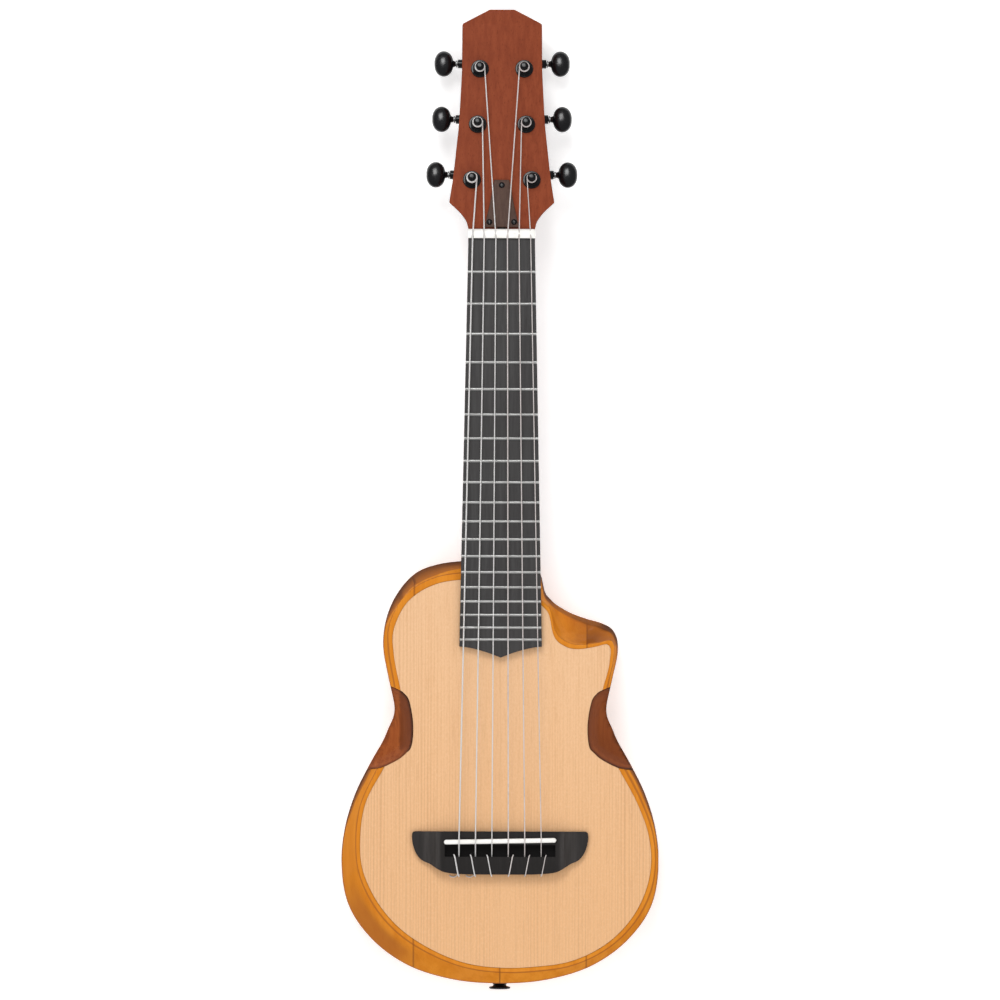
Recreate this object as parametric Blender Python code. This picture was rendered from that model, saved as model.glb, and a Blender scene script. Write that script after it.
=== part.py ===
"""A six-string guitalele, lying on its back: soundboard up (+Z), headstock toward +Y.

Lengths are in metres and angles in degrees. A place along the instrument is measured from the
front edge of the nut, positive toward the headstock's tip, and at() turns it into world Y. The
origin is in the middle of the instrument's plan, on the surface that its flat back lies on.
"""
import math

import bmesh
import bpy
from mathutils import Matrix, Vector

# Clearance between neighbouring pieces
GAP = 0.0003

# Scale and neck
SCALE_LENGTH = 0.430
FRET_COUNT = 19
NUT_WIDTH = 0.0481
NUT_THICKNESS = 0.0068
NUT_HEIGHT = 0.0084
NUT_CROWN = 0.0020
NUT_BACK_DROP = 0.0022
FRETBOARD_THICKNESS = 0.006
FRETBOARD_LENGTH = 0.2916
FRETBOARD_TIP = 0.0078
FRETBOARD_END_WIDTH = 0.0590
FRET_WIDTH = 0.0020
FRET_HEIGHT = 0.0010
NECK_JOINT = 0.2317
NECK_DEPTH_AT_NUT = 0.0152
NECK_DEPTH_AT_HEEL = 0.0174
HEEL_DEPTH = 0.0500
HEEL_LENGTH = 0.0340

# Headstock, measured in its own plane from the nut's back edge
HEAD_TILT = 12.0
HEAD_LENGTH = 0.1603
HEAD_THICKNESS = 0.0140
HEAD_EDGE_CHAMFER = 0.0010
HEAD_OUTLINE = (
    (0.0049, 0.0253),
    (0.0093, 0.0278),
    (0.0137, 0.0318),
    (0.0189, 0.0376),
    (0.0355, 0.0350),
    (0.0759, 0.0307),
    (0.1168, 0.0284),
    (0.1499, 0.0281),
)
HEAD_TIP_HALF_WIDTH = 0.0091

# Body: its plan is drawn around this centre, between the waist and the lower bout, for a scale of
# DRAWN_SCALE_LENGTH and a tail at DRAWN_TAIL. The body moves with the end of the scale, and where
# BODY_TAIL differs, everything behind the centre is stretched to it.
BODY_CENTRE = 0.390
DRAWN_SCALE_LENGTH = 0.430
DRAWN_TAIL = 0.5320
BODY_DEPTH = 0.060
BACK_ROUNDING = 0.008
BEARING_STEPS = ((0, 8, 4.0), (8, 46, 2.4), (46, 310, 6.0), (310, 352, 3.0), (352, 360, 4.0))
GLUE_LINE = 0.0617
JOINT_OVERLAP = 0.0012  # reach of the form past the neck joint, where it is cut flat

# Widest outline of the body as (half width, distance from the nut), nut side to tail
BOUT_OUTLINE = (
    (0.0760, 0.3320),
    (0.0809, 0.3523),
    (0.0929, 0.3751),
    (0.1040, 0.3980),
    (0.1108, 0.4210),
    (0.1132, 0.4470),
    (0.1074, 0.4779),
    (0.0913, 0.5007),
    (0.0682, 0.5179),
    (0.0350, 0.5290),
)
BODY_TAIL = 0.5320
BASS_SHOULDER_OUTLINE = (
    (0.0290, 0.2317),
    (0.0584, 0.2381),
    (0.0747, 0.2552),
    (0.0818, 0.2724),
    (0.0839, 0.2900),
    (0.0803, 0.3123),
)
TREBLE_SHOULDER_OUTLINE = (
    (0.0292, 0.2420),
    (0.0313, 0.2517),
    (0.0359, 0.2581),
    (0.0451, 0.2649),
    (0.0614, 0.2717),
    (0.0723, 0.2749),
    (0.0796, 0.2790),
    (0.0832, 0.2860),
    (0.0838, 0.2930),
    (0.0803, 0.3123),
)

# Edge of the soundboard, in the same way
SOUNDBOARD_THICKNESS = 0.0025
SOUNDBOARD_FRONT = 0.2440
SOUNDBOARD_TAIL = 0.5207
BASS_SOUNDBOARD_EDGE = (
    (0.0290, 0.2440),
    (0.0436, 0.2463),
    (0.0590, 0.2535),
    (0.0672, 0.2608),
    (0.0735, 0.2717),
    (0.0771, 0.2850),
    (0.0762, 0.2972),
    (0.0715, 0.3218),
    (0.0700, 0.3340),
    (0.0727, 0.3550),
    (0.0836, 0.3794),
    (0.0966, 0.4053),
    (0.0998, 0.4280),
    (0.0982, 0.4503),
    (0.0928, 0.4645),
    (0.0738, 0.4905),
    (0.0477, 0.5083),
    (0.0240, 0.5175),
)
TREBLE_SOUNDBOARD_EDGE = (
    (0.0290, 0.2620),
    (0.0342, 0.2680),
    (0.0369, 0.2808),
    (0.0460, 0.2913),
    (0.0560, 0.2932),
    (0.0687, 0.2913),
    (0.0765, 0.2898),
    (0.0780, 0.2915),
    (0.0779, 0.3018),
    (0.0725, 0.3232),
    (0.0705, 0.3340),
    (0.0735, 0.3550),
    (0.0850, 0.3794),
    (0.0993, 0.4066),
    (0.1060, 0.4260),
    (0.1077, 0.4480),
    (0.1000, 0.4752),
    (0.0830, 0.4977),
    (0.0523, 0.5154),
    (0.0240, 0.5200),
)

# Flat strip of the body around the soundboard, and the bevel that falls from it, by bearing in
# degrees from the neck, clockwise as seen from the front
BODY_LIP = 0.0026
BEVEL_DROP = ((0, 0.003), (10, 0.006), (18, 0.018), (30, 0.018), (38, 0.006), (48, 0.003),
              (110, 0.003), (170, 0.006), (200, 0.011), (240, 0.012), (270, 0.006), (300, 0.003))
BEVEL_COVE = ((0, 1.0), (12, 1.2), (20, 2.4), (32, 2.4), (40, 1.0), (300, 1.0))
SHOULDER_WIDTH = ((0, 0.005), (12, 0.003), (37, 0.0028), (46, 0.0010), (200, 0.0008), (315, 0.0010),
                  (322, 0.0010), (333, 0.0060), (340, 0.0075), (350, 0.0055))
SHOULDER_STEEPNESS = 1.8

# Hollow inside the body, the same on both sides
CHAMBER_FLOOR = 0.0045
CHAMBER_FRONT = 0.2790
CHAMBER_TAIL = 0.5140
CHAMBER_OUTLINE = (
    (0.0250, 0.2800),
    (0.0480, 0.2960),
    (0.0565, 0.3200),
    (0.0560, 0.3480),
    (0.0690, 0.3830),
    (0.0880, 0.4080),
    (0.0930, 0.4300),
    (0.0875, 0.4620),
    (0.0690, 0.4890),
    (0.0380, 0.5075),
)

# Scoops in the waist, with their dark wood inlays: edge of the scoop and the point it falls to
SCOOP_EDGE = (
    (0.0805, 0.3194),
    (0.0718, 0.3231),
    (0.0685, 0.3256),
    (0.0660, 0.3288),
    (0.0646, 0.3332),
    (0.0633, 0.3398),
    (0.0625, 0.3474),
    (0.0626, 0.3560),
    (0.0640, 0.3637),
    (0.0668, 0.3670),
    (0.0711, 0.3709),
    (0.0765, 0.3741),
    (0.0820, 0.3768),
    (0.0874, 0.3785),
    (0.0985, 0.3797),
)
SCOOP_CENTRE = (0.1040, 0.3500)
SCOOP_DEPTH = 0.020
SCOOP_ROWS = ((-0.06, -0.20), (0.0, 0.0), (0.12, 0.38), (0.30, 0.70), (0.60, 0.92))
INLAY_DEPTH = 0.030

# Soundboard's braces and bridge plate
BRACE_WIDTH = 0.0060
BRACE_HEIGHT = 0.0080
UPPER_BRACE = (0.3350, 0.0500)
LOWER_BRACE = (0.4850, 0.0600)
BRIDGE_PLATE_THICKNESS = 0.0020
BRIDGE_PLATE_LENGTH = 0.1300
BRIDGE_PLATE_WIDTH = 0.0380

# Bridge, in half widths and distances behind the end of the scale
BRIDGE_FRONT = -0.0066
BRIDGE_BACK = 0.0241
BRIDGE_HEIGHT = 0.0080
BRIDGE_OUTLINE = (
    (0.0618, -0.0066),
    (0.0632, -0.0052),
    (0.0632, -0.0010),
    (0.0610, 0.0050),
    (0.0573, 0.0118),
    (0.0510, 0.0150),
    (0.0434, 0.0207),
    (0.0348, 0.0228),
    (0.0220, 0.0241),
)
WING_START = 0.0450
WING_SLOPE_END = 0.0500
WING_HEIGHT = 0.0042
TROUGH_FRONT = 0.0030
TROUGH_BACK = 0.0115
TROUGH_HALF_LENGTH = 0.0395
TROUGH_FLOOR = 0.0038
TIE_HOLE_RADIUS = 0.0010
TIE_HOLE_HEIGHT = 0.0049
SADDLE_LENGTH = 0.0802
SADDLE_THICKNESS = 0.0034
SADDLE_SLOT_FLOOR = 0.0030
SADDLE_SLANT = 1.07

# Strings, bass to treble
STRING_RADII = (0.00055, 0.00048, 0.00042, 0.00045, 0.00040, 0.00035)
NUT_STRING_PITCH = 0.00828
SADDLE_STRING_PITCH = 0.01172
STRING_OVER_FIRST_FRET = 0.0006
STRING_OVER_LAST_FRET = 0.0040
TIE_LOOP_SHIFT = 0.0036
TIE_BEND = 0.0006
WINDING_TURNS = 2
POINTS_PER_TURN = 24
WINDING_GAP = 0.00048

# Tuning machines; spread is the post's distance from the centreline, nut end first
TUNER_FIRST = 0.0355
TUNER_PITCH = 0.04065
TUNER_SPREADS = (0.0213, 0.0173, 0.0158)
POST_RADIUS = 0.0026
POST_SHAFT_RADIUS = 0.0029
POST_HEIGHT = 0.0116
POST_HOLE_RADIUS = 0.00085
POST_FOOT_HEIGHT = 0.0008
POST_RIM = 0.0004
POST_CAP_HEIGHT = 0.0010
WASHER_RADIUS = 0.0064
WASHER_THICKNESS = 0.0010
BUSHING_HEAD_RADIUS = 0.0050
BUSHING_HEIGHT = 0.0032
BUSHING_CHAMFER = 0.0006
TURNED_EDGE = 0.0004
BUSHING_SLEEVE_RADIUS = 0.0044
BUSHING_SLEEVE_LENGTH = 0.0110
GEAR_TEETH = 14
GEAR_RADIUS = 0.0052
GEAR_TOOTH_HEIGHT = 0.0008
GEAR_THICKNESS = 0.0032
WORM_RADIUS = 0.0025
WORM_ROOT_RADIUS = 0.0018
WORM_LENGTH = 0.0096
WORM_DEPTH = 0.0052
WORM_THREAD_TURNS = 4
WORM_RINGS_PER_TURN = 3
WORM_END = 0.0006
HOUSING_WALL = 0.0016
HOUSING_DEPTH = 0.0094
HOUSING_CORNER = 0.0020
SNOUT_RADIUS = 0.0032
BUTTON_SHAFT_RADIUS = 0.0015
BUTTON_SIDES = 10
BUTTON_REACH = 0.0256
BUTTON_NECK_LENGTH = 0.0034
BUTTON_NECK_RADIUS = 0.0018
BUTTON_COLLAR_LENGTH = 0.0012
BUTTON_COLLAR_RADIUS = 0.0025
BUTTON_SIZE = (0.0127, 0.0180, 0.0090)
TAB_RADIUS = 0.0028
TAB_THICKNESS = 0.0016

# Truss rod and its cover
ROD_RADIUS = 0.0030
ROD_AXIS_DEPTH = 0.0060
ROD_MARGIN = 0.0167
ROD_NUT_RADIUS = 0.0034
ROD_NUT_LENGTH = 0.0095
ROD_NUT_SOCKET = 0.0017
POCKET_HALF_WIDTH = 0.0050
POCKET_START = 0.0010
POCKET_LENGTH = 0.0270
POCKET_DEPTH = 0.0098
COVER_THICKNESS = 0.0016
COVER_OUTLINE = ((0.0126, 0.0006), (0.0087, 0.0169), (0.0054, 0.0353))
COVER_SCREWS = {"top": (0.0, 0.0313), "bass": (-0.0088, 0.0043), "treble": (0.0088, 0.0043)}
COVER_SCREW_RADIUS = 0.0010
COVER_SCREW_HEAD_RADIUS = 0.0021
COVER_SCREW_LENGTH = 0.0080
SCREW_TIP = 0.0010

# Strap button on the tail
PIN_HEIGHT = 0.0300
PIN_HEAD_RADIUS = 0.0077
PIN_NECK_RADIUS = 0.0044
PIN_BASE_RADIUS = 0.0052
PIN_REACH = 0.0046
PIN_HEAD_THICKNESS = 0.0018
PIN_SCREW_RADIUS = 0.0015
PIN_SCREW_LENGTH = 0.0110
PIN_SCREW_HEAD_RADIUS = 0.0027

# Places that follow from these
TOP = BODY_DEPTH
HEAD_SLOPE = math.radians(HEAD_TILT)
HEAD_REACH = NUT_THICKNESS + HEAD_LENGTH * math.cos(HEAD_SLOPE)
BODY_SHIFT = SCALE_LENGTH - DRAWN_SCALE_LENGTH
CENTRE = BODY_CENTRE + BODY_SHIFT
TAIL = BODY_TAIL + BODY_SHIFT
JOINT = NECK_JOINT + BODY_SHIFT
ROD_END = JOINT - ROD_MARGIN
TAIL_REACH = TAIL + PIN_REACH
NUT_Y = (TAIL_REACH - HEAD_REACH) / 2
FRETBOARD_TOP = TOP + FRETBOARD_THICKNESS
FRET_TOP = FRETBOARD_TOP + FRET_HEIGHT
SADDLE_TOP = FRET_TOP + STRING_OVER_LAST_FRET
SOUNDBOARD_BOTTOM = TOP - SOUNDBOARD_THICKNESS
WORM_OFFSET = GEAR_RADIUS + WORM_RADIUS + GAP
SEAM = GAP / 2
CUT = 0.010
ROUND = 12
HEAD_PLANE = Matrix.Translation((0, NUT_Y + NUT_THICKNESS, TOP)) @ Matrix.Rotation(-HEAD_SLOPE, 4, "X")


def at(x, along, z):
    """World point of a place measured from the nut."""
    return Vector((x, along + NUT_Y, z))


def clear_scene():
    for thing in list(bpy.data.objects):
        bpy.data.objects.remove(thing)


def make_material(name, colour, roughness, metallic=0.0):
    material = bpy.data.materials.new(name)
    material.use_nodes = True
    shader = material.node_tree.nodes["Principled BSDF"]
    shader.inputs["Base Color"].default_value = (*colour, 1.0)
    shader.inputs["Roughness"].default_value = roughness
    shader.inputs["Metallic"].default_value = metallic
    return material


MATERIALS = {
    "body_wood": ((0.65, 0.23, 0.037), 0.25),
    "spruce": ((0.85, 0.53, 0.30), 0.45),
    "inlay_wood": ((0.26, 0.07, 0.026), 0.25),
    "neck_wood": ((0.28, 0.075, 0.038), 0.45),
    "ebony": ((0.052, 0.045, 0.044), 0.5),
    "bone": ((0.90, 0.89, 0.86), 0.35),
    "cover_wood": ((0.104, 0.061, 0.047), 0.5),
    "brace_wood": ((0.80, 0.50, 0.28), 0.6),
    "nylon": ((0.80, 0.76, 0.74), 0.3),
    "black_metal": ((0.010, 0.010, 0.011), 0.2, 0.6),
    "steel": ((0.55, 0.55, 0.56), 0.3, 1.0),
    "black_plastic": ((0.012, 0.012, 0.013), 0.15),
}


def add_object(name, mesh, material=None, parent=None, place=(0, 0, 0)):
    thing = bpy.data.objects.new(name, mesh)
    bpy.context.scene.collection.objects.link(thing)
    thing.location = place
    if parent is not None:
        thing.parent = parent
    if material is not None and hasattr(mesh, "materials"):
        mesh.materials.append(make_material(f"{name}_{material}", *MATERIALS[material]))
    return thing


def add_empty(name, parent=None, matrix=None):
    empty = bpy.data.objects.new(name, None)
    bpy.context.scene.collection.objects.link(empty)
    empty.empty_display_size = 0.01
    if parent is not None:
        empty.parent = parent
    if matrix is not None:
        empty.matrix_basis = matrix
    return empty


def finish_mesh(bm, name, smooth=False):
    """Turns a bmesh into a mesh whose faces point outwards."""
    bmesh.ops.recalc_face_normals(bm, faces=bm.faces)
    mesh = bpy.data.meshes.new(name)
    bm.to_mesh(mesh)
    bm.free()
    if smooth:
        mesh.shade_smooth()
        mesh.set_sharp_from_angle(angle=math.radians(35))
    return mesh


def add_guide(name, mesh, parent=None, place=(0, 0, 0)):
    """A cutter or a form that others are cut from; it is no piece of the instrument."""
    guide = add_object(name, mesh, None, parent, place)
    guide.hide_render = True
    guide.display_type = "WIRE"
    return guide


def boolean(thing, operation, other):
    cut = thing.modifiers.new(f"{operation.lower()}_{other.name}", "BOOLEAN")
    cut.operation = operation
    cut.object = other
    cut.solver = "EXACT"


def extrude_outline(bm, points, height):
    """Adds the prism over a closed outline of 3D points, raised by a vector."""
    base = bm.faces.new([bm.verts.new(p) for p in points])
    grown = bmesh.ops.extrude_face_region(bm, geom=[base])["geom"]
    top = [g for g in grown if isinstance(g, bmesh.types.BMVert)]
    bmesh.ops.translate(bm, verts=top, vec=height)


def prism(name, outline, low, high):
    """Upright prism over an outline of (x, distance from the nut) points."""
    bm = bmesh.new()
    extrude_outline(bm, [at(x, -away, low) for x, away in outline], (0, 0, high - low))
    return finish_mesh(bm, name)


def add_box(bm, low, high):
    middle = (Vector(low) + Vector(high)) / 2
    sides = Vector(high) - Vector(low)
    matrix = Matrix.Translation(middle) @ Matrix.Diagonal((*sides, 1))
    bmesh.ops.create_cube(bm, size=1, matrix=matrix)


def box(name, low, high):
    bm = bmesh.new()
    add_box(bm, low, high)
    return finish_mesh(bm, name)


def add_rod(bm, start, end, radius, sides=ROUND):
    """Adds a closed cylinder between two points."""
    line = Vector(end) - Vector(start)
    turn = line.to_track_quat("Z", "Y").to_matrix().to_4x4()
    matrix = Matrix.Translation((Vector(start) + Vector(end)) / 2) @ turn
    bmesh.ops.create_cone(bm, cap_ends=True, segments=sides, radius1=radius, radius2=radius,
                          depth=line.length, matrix=matrix)


def add_loft(bm, rings):
    """Skins a row of rings of equally many points, and closes both ends."""
    rows = [[bm.verts.new(p) for p in ring] for ring in rings]
    for low, high in zip(rows, rows[1:]):
        for i in range(len(low)):
            j = (i + 1) % len(low)
            bm.faces.new((low[i], low[j], high[j], high[i]))
    bm.faces.new(rows[0])
    bm.faces.new(rows[-1])


def turned(bm, profile, turn=Matrix.Identity(4), sides=ROUND):
    """Adds a closed turned solid around +Z from (radius, height) points, both ends capped."""
    rings = []
    for radius, height in profile:
        ring = []
        for i in range(sides):
            angle = math.tau * i / sides
            ring.append(turn @ Vector((radius * math.cos(angle), radius * math.sin(angle), height)))
        rings.append(ring)
    add_loft(bm, rings)


def turned_tube(bm, profile, turn=Matrix.Identity(4), sides=ROUND):
    """Adds a turned solid whose (radius, height) profile closes on itself, as a tube's does."""
    rings = []
    for radius, height in profile:
        ring = []
        for i in range(sides):
            angle = math.tau * i / sides
            spot = Vector((radius * math.cos(angle), radius * math.sin(angle), height))
            ring.append(bm.verts.new(turn @ spot))
        rings.append(ring)
    for low, high in zip(rings, rings[1:] + rings[:1]):
        for i in range(sides):
            j = (i + 1) % sides
            bm.faces.new((low[i], low[j], high[j], high[i]))


def mirrored(outline):
    """Closed outline from the half on the treble side, given from the nut to the tail."""
    return list(outline) + [(-x, away) for x, away in reversed(outline) if x > 0]


def tube_curve(name, points, radius, material, parent=None, place=(0, 0, 0)):
    """A capped tube through the points, six sides round."""
    curve = bpy.data.curves.new(name, "CURVE")
    curve.dimensions = "3D"
    curve.bevel_depth = radius
    curve.bevel_resolution = 1
    curve.use_fill_caps = True
    spline = curve.splines.new("POLY")
    spline.points.add(len(points) - 1)
    for target, point in zip(spline.points, points):
        target.co = (*point, 1)
    return add_object(name, curve, material, parent, place)


# Body outlines, drawn by their distance from the body's centre at each bearing

def stretched(away):
    """Distance from the nut of a drawn place, for the scale and the tail as they are."""
    stretch = (BODY_TAIL - BODY_CENTRE) / (DRAWN_TAIL - BODY_CENTRE)
    return CENTRE + (away - BODY_CENTRE) * (stretch if away > BODY_CENTRE else 1)


def closed_anchors(bass, treble, front, tail):
    """Anchors of a whole outline as (bearing, distance), sorted by bearing."""
    spots = [(0, front)] + list(treble) + [(0, tail)] + [(-x, away) for x, away in bass]
    anchors = []
    for x, drawn in spots:
        away = stretched(drawn)
        bearing = math.degrees(math.atan2(x, CENTRE - away)) % 360
        anchors.append((bearing, math.hypot(x, CENTRE - away)))
    return sorted(anchors)


def smooth_value(anchors, bearing):
    """Cubic curve through (bearing, value) anchors that closes after a full turn."""
    count = len(anchors)

    def anchor(i):
        turn, place = divmod(i, count)
        return anchors[place][0] + 360 * turn, anchors[place][1]

    def slope(i):
        (a, va), (b, vb), (c, vc) = anchor(i - 1), anchor(i), anchor(i + 1)
        before = (vb - va) / (b - a)
        after = (vc - vb) / (c - b)
        return (before * (c - b) + after * (b - a)) / (c - a)

    start = max(i for i in range(-1, count) if anchor(i)[0] <= bearing)
    (low, low_value), (high, high_value) = anchor(start), anchor(start + 1)
    span = high - low
    t = (bearing - low) / span
    return ((2 * t ** 3 - 3 * t ** 2 + 1) * low_value + (t ** 3 - 2 * t ** 2 + t) * span * slope(start)
            + (3 * t ** 2 - 2 * t ** 3) * high_value + (t ** 3 - t ** 2) * span * slope(start + 1))


def eased_value(steps, bearing):
    """Value that eases from one (bearing, value) step to the next and closes after a full turn."""
    rows = [(steps[-1][0] - 360, steps[-1][1]), *steps, (steps[0][0] + 360, steps[0][1])]
    for (low, low_value), (high, high_value) in zip(rows, rows[1:]):
        if low <= bearing <= high:
            t = (bearing - low) / (high - low)
            return low_value + (high_value - low_value) * (3 * t ** 2 - 2 * t ** 3)
    return rows[0][1]


def body_bearings():
    """Steps around the body, closer through the cutaway and the bass shoulder."""
    bearings = []
    for start, end, step in BEARING_STEPS:
        count = round((end - start) / step)
        bearings += [start + (end - start) * i / count for i in range(count)]
    return bearings


BEARINGS = body_bearings()
RIM = closed_anchors(BASS_SHOULDER_OUTLINE + BOUT_OUTLINE, TREBLE_SHOULDER_OUTLINE + BOUT_OUTLINE,
                     NECK_JOINT - JOINT_OVERLAP, DRAWN_TAIL)
EDGE = closed_anchors(BASS_SOUNDBOARD_EDGE, TREBLE_SOUNDBOARD_EDGE, SOUNDBOARD_FRONT, SOUNDBOARD_TAIL)
CHAMBER = closed_anchors(CHAMBER_OUTLINE, CHAMBER_OUTLINE, CHAMBER_FRONT, CHAMBER_TAIL)


def polar(bearing, distance):
    """(x, distance from the nut) of a point around the body's centre."""
    turn = math.radians(bearing)
    return distance * math.sin(turn), CENTRE - distance * math.cos(turn)


def outline_of(anchors, grow=0.0):
    return [polar(b, smooth_value(anchors, b) + grow) for b in BEARINGS]


def side_profile(bearing):
    """The body's side at one bearing, as (distance, height) from the back to the soundboard."""
    rim = smooth_value(RIM, bearing)
    lip = min(smooth_value(EDGE, bearing) + BODY_LIP, rim - BODY_LIP)
    shoulder = eased_value(SHOULDER_WIDTH, bearing)
    drop = eased_value(BEVEL_DROP, bearing)
    cove = eased_value(BEVEL_COVE, bearing)
    ridge = max(rim - shoulder, lip + BODY_LIP / 2)
    ridge_height = TOP - drop
    round_share = 1 - math.cos(math.pi / 4)
    profile = [
        (rim - BACK_ROUNDING, 0),
        (rim - BACK_ROUNDING * round_share, BACK_ROUNDING * round_share),
        (rim, BACK_ROUNDING),
        (rim, ridge_height - shoulder * SHOULDER_STEEPNESS),
    ]
    for share in (0, 1 / 3, 2 / 3, 1):
        profile.append((ridge + (lip - ridge) * share, ridge_height + drop * share ** cove))
    return profile


def surface_height(x, away):
    """Height of the body's upper surface at a place inside its outline."""
    bearing = math.degrees(math.atan2(x, CENTRE - away)) % 360
    distance = math.hypot(x, CENTRE - away)
    slope = side_profile(bearing)[4:]
    for (outer, low), (inner, high) in zip(slope, slope[1:]):
        if inner <= distance <= outer:
            return low + (high - low) * (outer - distance) / (outer - inner)
    return TOP if distance < slope[-1][0] else slope[0][1]


def body_form_mesh(name):
    bm = bmesh.new()
    sides = [side_profile(b) for b in BEARINGS]
    rings = []
    for level in range(len(sides[0])):
        ring = []
        for bearing, side in zip(BEARINGS, sides):
            distance, height = side[level]
            x, away = polar(bearing, distance)
            ring.append(at(x, -away, height))
        rings.append(ring)
    add_loft(bm, rings)
    return finish_mesh(bm, name, smooth=True)


def scoop_plan():
    """The scoop's edge, and the point outside the body that it falls to."""
    return ([Vector((x, away + BODY_SHIFT)) for x, away in SCOOP_EDGE],
            Vector((SCOOP_CENTRE[0], SCOOP_CENTRE[1] + BODY_SHIFT)))


def scoop_outline(side, grow):
    """Plan of an inlay, made larger by grow all round."""
    edge, centre = scoop_plan()
    outline = []
    for spot in edge:
        away_from_centre = spot - centre
        outline.append(centre + away_from_centre * (1 + grow / away_from_centre.length))
    outline.append(centre)
    return [(side * x, away) for x, away in outline]


def scoop_mesh(name, side):
    """What the scoop takes away: a bowl from its edge to its centre, open upwards."""
    bm = bmesh.new()
    edge, centre = scoop_plan()
    rows = []
    for share, fall in SCOOP_ROWS:
        row = []
        for start in edge:
            spot = start + (centre - start) * share
            height = surface_height(side * start.x, start.y) - SCOOP_DEPTH * fall
            row.append(bm.verts.new(at(side * spot.x, -spot.y, height)))
        rows.append(row)
    for low, high in zip(rows, rows[1:]):
        for i in range(len(low) - 1):
            bm.faces.new((low[i], low[i + 1], high[i + 1], high[i]))
    deepest = bm.verts.new(at(side * centre.x, -centre.y, TOP - SCOOP_DEPTH))
    above = [bm.verts.new(v.co + Vector((0, 0, CUT))) for v in rows[0]]
    lid_centre = bm.verts.new(at(side * centre.x, -centre.y, TOP + CUT))
    for i in range(len(above) - 1):
        bm.faces.new((rows[-1][i], rows[-1][i + 1], deepest))
        bm.faces.new((rows[0][i], rows[0][i + 1], above[i + 1], above[i]))
        bm.faces.new((above[i], above[i + 1], lid_centre))
    for end in (0, -1):
        bm.faces.new([row[end] for row in rows] + [deepest, lid_centre, above[end]])
    return finish_mesh(bm, name)


def build_body():
    """Four glued boards, hollowed, with the soundboard and the waist's inlays let in."""
    form = add_guide("body_form", body_form_mesh("body_form"))
    blank = add_guide("body_blank", body_form_mesh("body_blank"))
    hollow = prism("chamber_cut", outline_of(CHAMBER), CHAMBER_FLOOR, TOP + CUT)
    chamber = add_guide("chamber_cut", hollow)
    recess = prism("rebate_cut", outline_of(EDGE, GAP), SOUNDBOARD_BOTTOM - GAP, TOP + CUT)
    rebate = add_guide("rebate_cut", recess)
    half = fretboard_half_width(JOINT)
    room = box("neck_joint_cut", at(-half, -JOINT - SEAM, -CUT), at(half, 0, TOP + CUT))
    joint = add_guide("neck_joint_cut", room)
    bm = bmesh.new()
    add_rod(bm, at(0, -TAIL - CUT, PIN_HEIGHT), at(0, GAP - TAIL + PIN_SCREW_LENGTH, PIN_HEIGHT),
            PIN_SCREW_RADIUS + GAP)
    pin_hole = add_guide("pin_hole_cut", finish_mesh(bm, "pin_hole_cut"))
    for cutter in (chamber, rebate, joint, pin_hole):
        boolean(blank, "DIFFERENCE", cutter)

    board = prism("soundboard", outline_of(EDGE), SOUNDBOARD_BOTTOM, TOP)
    soundboard = add_object("soundboard", board, "spruce")
    for hand, side in (("bass", -1), ("treble", 1)):
        notch = add_guide(f"inlay_notch_{hand}", prism("inlay_notch", scoop_outline(side, GAP),
                                                       TOP - INLAY_DEPTH - GAP, TOP + CUT))
        scoop = add_guide(f"scoop_cut_{hand}", scoop_mesh("scoop_cut", side))
        boolean(blank, "DIFFERENCE", notch)
        boolean(soundboard, "DIFFERENCE", notch)
        plan = prism("waist_inlay", scoop_outline(side, 0), TOP - INLAY_DEPTH, TOP + CUT / 2)
        inlay = add_object(f"waist_inlay_{hand}", plan, "inlay_wood")
        boolean(inlay, "INTERSECT", form)
        boolean(inlay, "DIFFERENCE", scoop)

    reach = BODY_DEPTH * 3
    spans = {
        "body_board_bass_outer": (-reach, -GLUE_LINE - SEAM),
        "body_board_bass_inner": (-GLUE_LINE + SEAM, -SEAM),
        "body_board_treble_inner": (SEAM, GLUE_LINE - SEAM),
        "body_board_treble_outer": (GLUE_LINE + SEAM, reach),
    }
    for name, (low, high) in spans.items():
        slab = box(name, at(low, -TAIL - CUT, -CUT), at(high, 0, TOP + CUT))
        boolean(add_object(name, slab, "body_wood"), "INTERSECT", blank)


def build_braces():
    """Two cross braces with lowered ends, and the plate under the bridge."""
    seat = SOUNDBOARD_BOTTOM - GAP
    for name, (away, half_length) in (("brace_upper", UPPER_BRACE), ("brace_lower", LOWER_BRACE)):
        bm = bmesh.new()
        taper = 3 * BRACE_HEIGHT
        outline = [(-half_length, 0), (half_length, 0), (half_length, -BRACE_HEIGHT / 3),
                   (half_length - taper, -BRACE_HEIGHT), (taper - half_length, -BRACE_HEIGHT),
                   (-half_length, -BRACE_HEIGHT / 3)]
        points = [at(x, -away - BODY_SHIFT - BRACE_WIDTH / 2, seat + z) for x, z in outline]
        extrude_outline(bm, points, (0, BRACE_WIDTH, 0))
        add_object(name, finish_mesh(bm, name), "brace_wood")
    middle = SCALE_LENGTH + (BRIDGE_FRONT + BRIDGE_BACK) / 2
    low = at(-BRIDGE_PLATE_LENGTH / 2, -middle - BRIDGE_PLATE_WIDTH / 2, seat - BRIDGE_PLATE_THICKNESS)
    high = at(BRIDGE_PLATE_LENGTH / 2, -middle + BRIDGE_PLATE_WIDTH / 2, seat)
    add_object("bridge_plate", box("bridge_plate", low, high), "brace_wood")


# Neck

def fretboard_half_width(away):
    """The fretboard widens evenly from the nut to its end."""
    growth = (FRETBOARD_END_WIDTH - NUT_WIDTH) / 2
    return NUT_WIDTH / 2 + growth * away / FRETBOARD_LENGTH


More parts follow.
